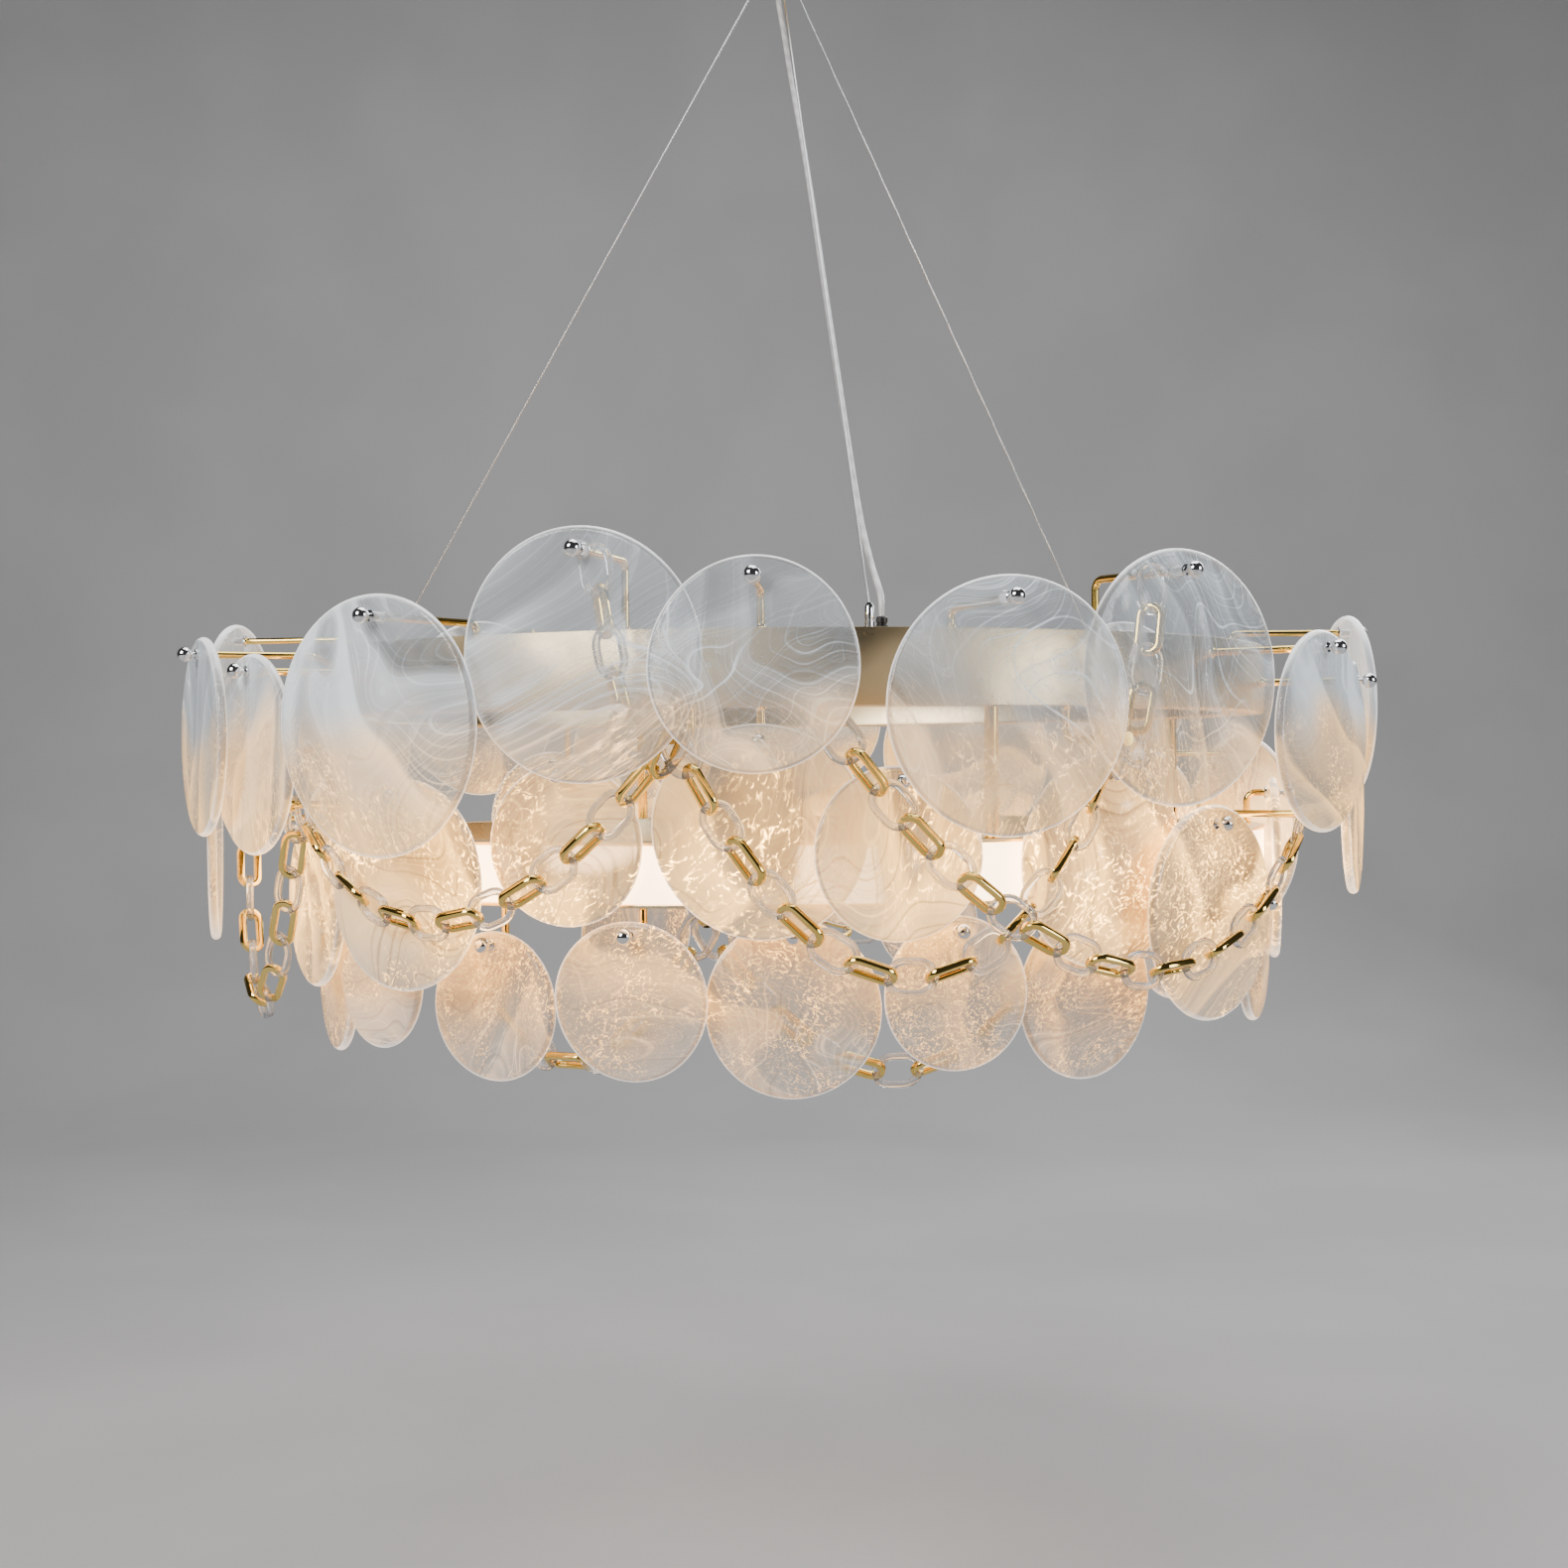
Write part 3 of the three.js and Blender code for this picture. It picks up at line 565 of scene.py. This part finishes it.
rodding = {
    "radius": 2.2, "bend": 6, "bendSteps": 6, "sides": 14, "sunk": 0.8, "deepInset": 3,
    "leastClimb": 1.6, "leastRun": 0.3, "intoBand": 1, "intoCollar": 0.5,
    "foot": ((1.7, 0), (1.45, 0.35), (1.15, 1.1), (1, 2.2)),  # share of the radius, height
    "collarRadius": 4, "collarThickness": 2, "washerThickness": 1.5,
    "neckRadius": 1.5, "neckLength": 2, "ballRadius": 4.6, "seat": 0.5,
    "collarProfile": ((0, -2), (3.4, -2), (4, -1.5), (4, -0.4), (3.6, 0), (1.9, 0)),
    "washerProfile": ((1.9, 0), (3.1, 0), (3.4, 0.3), (3.4, 1.1), (2.9, 1.5), (1.5, 1.5)),
    "steps": 28, "ballSteps": 12, "discThickness": 6, "gap": 0.3,
}


# Where a rod to this level leaves its hoop. A rod from the upper hoop's face has no level there.
def rodBase(level, deep=False):
    reach = hoops["radius"] - (hoops["depth"] - rodding["deepInset"] if deep else 2 * rodding["bend"])
    if level > upperTop:
        return reach, upperTop
    if level > upperFoot + hoops["sheet"]:
        return reach, None
    if level > upperFoot - hoops["spacing"] / 2:
        return reach, upperFoot
    if level > lowerTop:
        return reach, lowerTop
    return reach, lowerFoot


def rodLine(azimuth, base, level, reach):
    baseReach, baseLevel = base
    if baseLevel is None:
        return [placed(azimuth, hoops["radius"] - rodding["intoBand"], level), placed(azimuth, reach, level)]
    climb = level - baseLevel
    run = reach - baseReach
    bend = min(rodding["bend"], abs(climb) - rodding["leastClimb"], abs(run) - rodding["leastRun"])
    way = math.copysign(1, climb)
    points = [placed(azimuth, baseReach, baseLevel - way * rodding["sunk"])]
    for step in range(rodding["bendSteps"] + 1):
        angle = math.pi / 2 * step / rodding["bendSteps"]
        out = baseReach + math.copysign(bend, run) * (1 - math.cos(angle))
        points.append(placed(azimuth, out, level - way * bend * (1 - math.sin(angle))))
    points.append(placed(azimuth, reach, level))
    return points


# A small brazed fillet where a rod leaves its hoop.
def rodFoot(azimuth, base, level):
    profile = [(rodding["radius"] * share, height) for share, height in rodding["foot"]]
    if base[1] is None:
        turn = Matrix.Translation(placed(azimuth, hoops["radius"], level)) @ Matrix.Rotation(
            math.radians(azimuth), 4, "Z") @ Matrix.Rotation(math.radians(90), 4, "X")
    else:
        turn = Matrix.Translation(placed(azimuth, base[0], base[1]))
        if level < base[1]:
            turn = turn @ Matrix.Rotation(math.pi, 4, "X")
    return lathe(profile, rodding["sides"], turn)


# Collar, shank, washer, neck and ball, along the outward line through the disc.
def studParts(azimuth, reach, level):
    half = rodding["discThickness"] / 2 + rodding["gap"]
    neck = half + rodding["washerThickness"] + rodding["neckLength"]
    centre = neck + rodding["ballRadius"] - rodding["seat"]
    turn = Matrix.Rotation(math.radians(azimuth), 4, "Z") @ Matrix.Translation((0, -reach, level)) @ Matrix.Rotation(
        math.radians(90), 4, "X")
    profile = [(radius, depth - half) for radius, depth in rodding["collarProfile"]]
    profile += [(radius, depth + half) for radius, depth in rodding["washerProfile"]]
    ball = rodding["ballRadius"]
    start = math.asin(rodding["neckRadius"] / ball)
    for step in range(rodding["ballSteps"] + 1):
        angle = start + (math.pi - start) * step / rodding["ballSteps"]
        profile.append((max(ball * math.sin(angle), 0), centre - ball * math.cos(angle)))
    profile[-1] = (0, centre + ball)
    return lathe(profile, rodding["steps"], turn)


# Discs of cast glass with a fire-rounded rim, a hole for the stud and a slightly wavering outline.

casting = {
    "thickness": 6, "holeRadius": 2.6, "holeShare": 0.405, "waver": 0.012, "fit": 1.004,
    "steps": 84, "rimSteps": 8, "faceSteps": 6, "dish": 0.35,
    "sharp": 80, "frontFacing": 0.97, "backFacing": -0.9,
}


def discParts(diameter, seed, azimuth, reach, level):
    half = casting["thickness"] / 2
    drop = diameter * casting["holeShare"]
    steps = casting["steps"]

    # A ring on the rim, grown by some millimetres, or on the face, drawn in towards the hole.
    def ring(depth, growth=0, inwards=0):
        points = []
        for k in range(steps):
            angle = 2 * math.pi * k / steps
            waver = math.sin(2 * angle + seed) + math.sin(3 * angle + 2 * seed) / 2 - 1
            radius = diameter / 2 * (1 + casting["waver"] * waver)
            way = Vector((math.cos(angle), 0, math.sin(angle)))
            rim = way * (radius - half + growth)
            rim.z -= drop
            point = rim.lerp(way * casting["holeRadius"], inwards)
            point.y = depth
            points.append(point)
        return points

    rims = []
    for step in range(casting["rimSteps"] + 1):
        angle = math.pi / 2 - math.pi * step / casting["rimSteps"]
        rims.append(ring(-half * math.sin(angle), growth=half * math.cos(angle)))
    fronts, backs = [], []
    for step in range(1, casting["faceSteps"] + 1):
        inwards = step / casting["faceSteps"]
        depth = half - casting["dish"] * math.sin(math.pi * inwards)
        backs.append(ring(depth, inwards=inwards))
        fronts.insert(0, ring(-depth, inwards=inwards))
    rings = fronts + rims + backs
    turn = Matrix.Rotation(math.radians(azimuth), 4, "Z") @ Matrix.Translation((0, -reach, level))
    vertices = [turn @ point for points in rings for point in points]
    faces = []
    count = len(rings)
    for i in range(count):
        for k in range(steps):
            a, b = i * steps + k, i * steps + (k + 1) % steps
            c, d = (i + 1) % count * steps + k, (i + 1) % count * steps + (k + 1) % steps
            faces.append((a, c, d, b))
    return vertices, faces


rodsUpper, rodsLower, studsUpper, studsLower = [], [], [], []
for joint in frame["joints"]:
    name = joint["child"]
    tier, number = name.split("_")[0], int(name.split("_")[2])
    x, y, z = (value / mm for value in joint["pos_m"])
    azimuth, reach = math.degrees(math.atan2(x, -y)), math.hypot(x, y)
    low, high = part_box(name)
    diameter = (high[2] - low[2]) / mm * casting["fit"]
    disc = makePiece(f"cast_{name}", [discParts(diameter, number - 1, azimuth, reach, z)], glass[tier],
                     body=name, sharp=casting["sharp"], replaced=(name,))
    disc.data.materials.append(glassBack)
    disc.data.materials.append(glassRim[tier])
    front = outward(azimuth)
    for polygon in disc.data.polygons:
        turned = polygon.normal.dot(front)
        if turned < casting["backFacing"]:
            polygon.material_index = 1
        elif turned < casting["frontFacing"]:
            polygon.material_index = 2
    base = rodBase(z, tier == "lower")
    end = reach - rodding["discThickness"] / 2 - rodding["gap"] - rodding["collarThickness"] + rodding["intoCollar"]
    upper = z > upperFoot - hoops["spacing"] / 2
    rods = rodsUpper if upper else rodsLower
    rods.append(tube(rodLine(azimuth, base, z, end), rodding["radius"], rodding["sides"]))
    rods.append(rodFoot(azimuth, base, z))
    (studsUpper if upper else studsLower).append(studParts(azimuth, reach, z))
print("discs made")


# A folded channel, open to the inside or the outside.
def bandParts(top, height, openOutwards):
    radius, sheet, foot = hoops["radius"], hoops["sheet"], top - height
    wall = hoopInner if openOutwards else radius
    lip = radius if openOutwards else hoopInner
    inside = sheet if openOutwards else -sheet
    section = [(wall, foot), (lip, foot), (lip, foot + sheet), (wall + inside, foot + sheet),
               (wall + inside, top - sheet), (lip, top - sheet), (lip, top), (wall, top)]
    return lathe(eased(section, hoops["ease"]), hoops["steps"])


wiring = {
    "azimuth": 8.75, "circle": 312, "radius": 0.6, "sides": 12,
    "gripCircle": 14.3, "gripLength": 9, "gap": 0.3, "ferruleLength": 11, "ferruleSteps": 28, "ferruleProfile": (
        (0, 0), (2.6, 0), (2.6, 3.2), (2.25, 3.5), (2.25, 4.1), (2.6, 4.4), (2.6, 11), (2.08, 12.2),
        (1.17, 13.6), (0, 13.6)),
}

socketPlace = placed(wiring["azimuth"], wiring["circle"], upperTop)
socketPlace += outward(wiring["azimuth"] + 90) * hoops["socketSide"]
socket = lathe(hoops["socketProfile"], hoops["socketSteps"], Matrix.Translation(socketPlace))
makePiece("upper_band", [bandParts(upperTop, hoops["upperHeight"], False)], satinGilt,
          replaced=("upper_hoop",))
makePiece("upper_rods", rodsUpper, polishedGilt, replaced=("upper_hoop",))
makePiece("upper_studs", studsUpper, polishedChrome, replaced=("upper_hoop",))
makePiece("cord_socket", [socket], darkFerrule, replaced=("upper_hoop",))

risers = []
for azimuth in hoops["risers"]:
    reach = hoops["radius"] - hoops["depth"] / 2
    line = [placed(azimuth, reach, lowerTop - hoops["brazed"]), placed(azimuth, reach, upperFoot - hoops["gap"])]
    risers.append(tube(line, hoops["riserRadius"], hoops["riserSides"]))
makePiece("lower_band", [bandParts(lowerTop, hoops["lowerHeight"], True)], satinGilt,
          replaced=("lower_hoop",))
makePiece("lower_rods", rodsLower + risers, polishedGilt, replaced=("lower_hoop",))
makePiece("lower_studs", studsLower, polishedChrome, replaced=("lower_hoop",))


# A ring of rectangular section with eased corners.
def ringParts(inner, outer, foot, top, ease):
    return lathe(eased([(outer, foot), (outer, top), (inner, top), (inner, foot)], ease), hoops["steps"])


margin = hoops["sheet"] + hoops["gap"]
skin = hoops["radius"] - hoops["diffuserInset"]
diffuser = ringParts(skin - hoops["diffuserWall"], skin, lowerFoot + margin, lowerTop - margin, hoops["diffuserEase"])
makePiece("lit_diffuser", [diffuser], litDiffuser, replaced=("diffuser",))
back, stripFoot = hoopInner + margin, (lowerTop + lowerFoot - hoops["stripHeight"]) / 2
strip = ringParts(back, back + hoops["stripWall"], stripFoot, stripFoot + hoops["stripHeight"], hoops["stripEase"])
makePiece("light_strip", [strip], stripWhite, replaced=("led_strip",))
print("hoops, rods and studs made")


# Canopy, plate, wires and cord.

cup = {
    "radius": 60, "height": 25, "wall": 1.6, "corner": 5, "cornerSteps": 8, "steps": 96, "stemGap": 0.3,
    "gripRadius": 3.4, "glandRadius": 4.6, "glandLength": 6, "bossSteps": 40, "bossSunk": 0.8,
    "bossProfile": ((1, 0.25), (0.94, 0.3), (0.72, 0.92), (0.62, 1), (0, 1)),  # shares of radius and length
    "plateProfile": ((0, 0), (41.6, 0), (42, -0.4), (42, -2.6), (41.6, -3), (9, -3)), "plateStem": 9,
}
cupFoot = -cup["height"]


def cornerLine(outer, foot, radius):
    angles = [math.pi / 2 * step / cup["cornerSteps"] for step in range(cup["cornerSteps"] + 1)]
    return [(outer - radius * (1 - math.cos(angle)), foot + radius * (1 - math.sin(angle))) for angle in angles]


def cupParts():
    radius, wall, corner = cup["radius"], cup["wall"], cup["corner"]
    inner, floor = radius - wall, cupFoot + wall
    profile = [(radius, 0), *cornerLine(radius, cupFoot, corner), (0, cupFoot), (0, floor),
               *reversed(cornerLine(inner, floor, corner - wall)), (inner, 0), (radius, 0)]
    return lathe(profile, cup["steps"])


# A grip or gland under the cup.
def bossParts(radius, length, at):
    root = cupFoot + cup["bossSunk"]
    profile = [(radius * share, cupFoot - length * down) for share, down in cup["bossProfile"]]
    return lathe([(0, root), (radius, root)] + profile, cup["bossSteps"], Matrix.Translation(at))


grips = []
for offset in (0, 120, -120):
    place = placed(wiring["azimuth"] + offset, wiring["gripCircle"], 0)
    grips.append(bossParts(cup["gripRadius"], wiring["gripLength"], place))
makePiece("canopy_cup", [cupParts()], satinGilt, replaced=("ceiling_canopy",))
makePiece("wire_grips", grips, polishedChrome, replaced=("ceiling_canopy",))
makePiece("cord_gland", [bossParts(cup["glandRadius"], cup["glandLength"], (0, 0, 0))], darkFerrule,
          replaced=("ceiling_canopy",))
stemEnd = cupFoot + cup["wall"] + cup["stemGap"]
plate = lathe([*cup["plateProfile"], (cup["plateStem"], stemEnd), (0, stemEnd)], cup["steps"])
makePiece("ceiling_plate", [plate], zincPlate, replaced=("mounting_plate",))

for offset, name in ((0, "wire_front"), (120, "wire_right"), (-120, "wire_left")):
    azimuth, foot = wiring["azimuth"] + offset, upperTop + wiring["gap"]
    ferrule = lathe(wiring["ferruleProfile"], wiring["ferruleSteps"],
                    Matrix.Translation(placed(azimuth, wiring["circle"], foot)))
    line = [placed(azimuth, wiring["circle"], foot + wiring["ferruleLength"]),
            placed(azimuth, wiring["gripCircle"], cupFoot - wiring["gripLength"] - wiring["gap"])]
    makePiece(f"{name}_strand", [tube(line, wiring["radius"], wiring["sides"])], strandedWire,
              replaced=(name,))
    makePiece(f"{name}_ferrule", [ferrule], polishedChrome, replaced=(name,))

lead = {
    "diameter": 3.4, "pointsEach": 5,
    "route": (  # out along the front wire's azimuth, to its right, and down from the ceiling
        (0, 0, 31.3), (0, 0, 38), (0.6, 0.2, 45), (3, 0.8, 54), (7.5, 1.6, 64), (14, 2.2, 76),
        (28, 2.8, 99), (51, 3.4, 132), (80, 3.8, 170), (111, 3.8, 212), (143, 3.4, 256),
        (175, 3.2, 301), (206, 3.4, 347), (236, 3.8, 392), (264, 4.6, 434), (288, 5.8, 461),
        (301, 6.6, 473), (308, 7, 480), (311.3, 7, 486), (312, 7, 492.7),
    ),
}


# A curve through all the points.
def smoothed(points, each):
    result = []
    for i in range(len(points) - 1):
        a, b = points[max(i - 1, 0)], points[i]
        c, d = points[i + 1], points[min(i + 2, len(points) - 1)]
        for step in range(each):
            t = step / each
            result.append(0.5 * (2 * b + (c - a) * t + (2 * a - 5 * b + 4 * c - d) * t * t
                                 + (3 * b - a - 3 * c + d) * t * t * t))
    return result + [points[-1]]


aside = outward(wiring["azimuth"] + 90)
route = [placed(wiring["azimuth"], out, -drop) + aside * side for out, side, drop in lead["route"]]
line = [point * mm for point in smoothed(route, lead["pointsEach"])]
curve = bpy.data.curves.new("power_lead", "CURVE")
curve.dimensions = "3D"
curve.bevel_depth = lead["diameter"] / 2 * mm
curve.bevel_resolution = 3
curve.use_fill_caps = True
spline = curve.splines.new("POLY")
spline.points.add(len(line) - 1)
for knot, point in zip(spline.points, line):
    knot.co = (*point, 1)
curve.materials.append(clearJacket)
powerLead = linked("power_lead", curve)
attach(powerLead, "fixture")
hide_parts("power_cord")


# Swags of gilt and clear links.

giltLink = {"length": 30.5, "width": 16, "wire": 4.2, "square": 0.62}
clearLink = {"length": 30, "width": 22, "wire": 4.4, "square": 1.0}
swags = {
    "bite": 0.6, "spread": 40, "hookTip": 5, "hookKnob": 2, "knobSides": 24, "knobSunk": 0.4,
    "giltTurn": -34, "clearTurn": 12, "stray": 9, "strayStep": 2.7, "bowSteps": 12, "sides": 12, "halvings": 40,
    "strands": {
        "swag_chain_left": {"reach": 358, "hooks": ((-76, 0.25), (-53, 0.52), (-9.4, 1.42), (31, 1.36)),
                            "links": (13, 15, 17)},
        "swag_chain_right": {"reach": 370, "hooks": ((3.8, 1.56), (56.6, 0.25)), "links": (19,)},
        "swag_chain_back": {"reach": 358, "hooks": ((149, 0.62), (191, 0.5)), "links": (17,)},
    },
}
linkPitch = (giltLink["length"] + clearLink["length"]) / 2 - giltLink["wire"] - clearLink["wire"] + swags["bite"]
hookDrop = clearLink["length"] / 2 - clearLink["wire"] - rodding["radius"] + swags["bite"]


def linkParts(size, turn):
    wire = size["wire"] / 2
    bow = size["width"] / 2 - wire
    straight = size["length"] / 2 - wire - bow
    points = []
    for way in (1, -1):
        for step in range(swags["bowSteps"] + 1):
            angle = math.pi * step / swags["bowSteps"] - math.pi / 2
            points.append(Vector((way * (straight + bow * math.cos(angle)), way * bow * math.sin(angle), 0)))
    vertices, faces = tube(points, wire, swags["sides"], closed=True, square=size["square"], seed=Vector((0, 0, 1)))
    return [turn @ vertex for vertex in vertices], faces


# Places count links along a swag at their pitch. The slack is what is left to the far hook.
def walkSwag(start, end, reach, sag, count):
    def onSwag(t):
        level = start[1] + (end[1] - start[1]) * t - 4 * sag * t * (1 - t)
        return placed(start[0] + (end[0] - start[0]) * t, reach, level)

    centres, t, here = [], 0, onSwag(0)
    for i in range(count):
        stride = linkPitch if i else hookDrop
        low, high = t, t + 0.5
        for _ in range(swags["halvings"]):
            middle = (low + high) / 2
            if (onSwag(middle) - here).length < stride:
                low = middle
            else:
                high = middle
        t, here = high, onSwag(high)
        centres.append(here)
    slack = (here - onSwag(1)).length - hookDrop if t < 1 else -hookDrop
    return centres, slack


# Finds the sag that the links fill, and adds them, turned by a quarter from one to the next.
def fillSwag(start, end, reach, count, gilt, clear):
    low, high = 0, hoops["radius"]
    for _ in range(swags["halvings"]):
        middle = (low + high) / 2
        if walkSwag(start, end, reach, middle, count)[1] < 0:
            low = middle
        else:
            high = middle
    centres = walkSwag(start, end, reach, high, count)[0]
    first, last = placed(start[0], reach, start[1]), placed(end[0], reach, end[1])
    stations = [first, *centres, last]
    for i, centre in enumerate(centres):
        along = (stations[i + 2] - stations[i]).normalized()
        if i == 0:
            along = (centre - first).normalized()
        if i == count - 1:
            along = (last - centre).normalized()
        out = Vector((centre.x, centre.y, 0)).normalized()
        face = (out - along * out.dot(along)).normalized()
        across = face.cross(along)
        stray = swags["stray"] * math.sin(swags["strayStep"] * i + start[0])
        if i % 2 == 0:
            size, chain, columns, turned = clearLink, clear, (along, across, face), swags["clearTurn"]
        else:
            size, chain, columns, turned = giltLink, gilt, (along, -face, across), swags["giltTurn"]
        turn = Matrix([(*(column[k] for column in columns), centre[k]) for k in range(3)] + [(0, 0, 0, 1)])
        chain.append(linkParts(size, turn @ Matrix.Rotation(math.radians(turned + stray), 4, "X")))


def hookParts(azimuth, level, reach, deep=False):
    base = rodBase(level, deep)
    tip = reach + math.copysign(swags["hookTip"], reach - base[0])
    way = math.copysign(1, tip - base[0])
    knob = [placed(azimuth, tip - swags["knobSunk"], level), placed(azimuth, tip + way * swags["hookKnob"], level)]
    return [tube(rodLine(azimuth, base, level, tip), rodding["radius"], rodding["sides"]),
            rodFoot(azimuth, base, level), tube(knob, rodding["collarRadius"], swags["knobSides"])]


for name, strand in swags["strands"].items():
    gilt, clear = [], []
    hooks = [(azimuth, lowerTop + share * swags["spread"]) for azimuth, share in strand["hooks"]]
    for azimuth, level in hooks:
        gilt += hookParts(azimuth, level, strand["reach"])
    for start, end, count in zip(hooks, hooks[1:], strand["links"]):
        fillSwag(start, end, strand["reach"], count, gilt, clear)
    makePiece(f"{name}_gilt", gilt, polishedGilt, replaced=(name,))
    makePiece(f"{name}_clear", clear, clearAcrylic, replaced=(name,))


# Two runs come up behind the upper discs to the rods of their studs.

rises = {"reach": 358, "from": ((-16.2, -460.4), (35.1, -469.4)), "to": ((-9.4, 1.42), (31, 1.36)), "links": (6, 5)}
gilt, clear = [], []
for start, (azimuth, share), count in zip(rises["from"], rises["to"], rises["links"]):
    fillSwag(start, (azimuth, lowerTop + share * swags["spread"]), rises["reach"], count, gilt, clear)
makePiece("rising_chain_gilt", gilt, polishedGilt)
makePiece("rising_chain_clear", clear, clearAcrylic)


# Fine drapes over the lower discs.

drapes = {"reach": 288, "level": -661, "hooks": (-42, -9, 34), "links": (11, 13)}
gilt, clear = [], []
for azimuth in drapes["hooks"]:
    gilt += hookParts(azimuth, drapes["level"], drapes["reach"], deep=True)
for start, end, count in zip(drapes["hooks"], drapes["hooks"][1:], drapes["links"]):
    fillSwag((start, drapes["level"]), (end, drapes["level"]), drapes["reach"], count, gilt, clear)
makePiece("drape_chain_gilt", gilt, polishedGilt)
makePiece("drape_chain_clear", clear, clearAcrylic)
print("swags made")


# Floor, backdrop and soft light.

studio = {
    "floor": -1.12, "front": -4.5, "back": 2.6, "top": 5, "curve": 0.9, "curveSteps": 16, "width": 9.0,
    "aim": (0, 0, -0.6),
    "lights": (
        ("key", (-1.7, -1.9, 0.7), 1.3, 70, (1.0, 0.98, 0.96)),
        ("fill", (2.1, -1.3, -0.1), 1.0, 28, (0.94, 0.97, 1.0)),
        ("overhead", (0.2, 0.4, 1.5), 2.0, 48, (1.0, 1.0, 1.0)),
        ("rim", (1.2, 1.6, 0.3), 1.0, 20, (0.96, 0.98, 1.0)),
    ),
    "world": (0.5, 0.51, 0.53, 1.0),
    "worldStrength": 0.08,
}


def makeStage():
    floor, back, curve, half = studio["floor"], studio["back"], studio["curve"], studio["width"] / 2
    line = [(studio["front"], floor), (back - curve, floor)]
    for step in range(1, studio["curveSteps"] + 1):
        angle = math.pi / 2 * step / studio["curveSteps"]
        line.append((back - curve + curve * math.sin(angle), floor + curve * (1 - math.cos(angle))))
    line.append((back, studio["top"]))
    vertices = [(side * half, y, z) for y, z in line for side in (-1, 1)]
    faces = [(2 * i, 2 * i + 1, 2 * i + 3, 2 * i + 2) for i in range(len(line) - 1)]
    mesh = bpy.data.meshes.new("floor")
    mesh.from_pydata(vertices, [], faces)
    mesh.polygons.foreach_set("use_smooth", [True] * len(mesh.polygons))
    mesh.materials.append(makePlain("paleFloor", 3.0, (0.4, 0.4, 0.405, 1.0), (0.43, 0.43, 0.435, 1.0), 0.85, 0.05))
    linked("floor", mesh)


makeStage()
for name, place, size, power, color in studio["lights"]:
    lamp = bpy.data.lights.new(name, "AREA")
    lamp.size = size
    lamp.energy = power
    lamp.color = color
    holder = linked(name, lamp)
    holder.location = place
    holder.rotation_euler = (Vector(studio["aim"]) - Vector(place)).to_track_quat("-Z", "Y").to_euler()
world = bpy.data.worlds.new("studio")
world.use_nodes = True
world.node_tree.nodes["Background"].inputs["Color"].default_value = studio["world"]
world.node_tree.nodes["Background"].inputs["Strength"].default_value = studio["worldStrength"]
bpy.context.scene.world = world
print("floor and lights made")
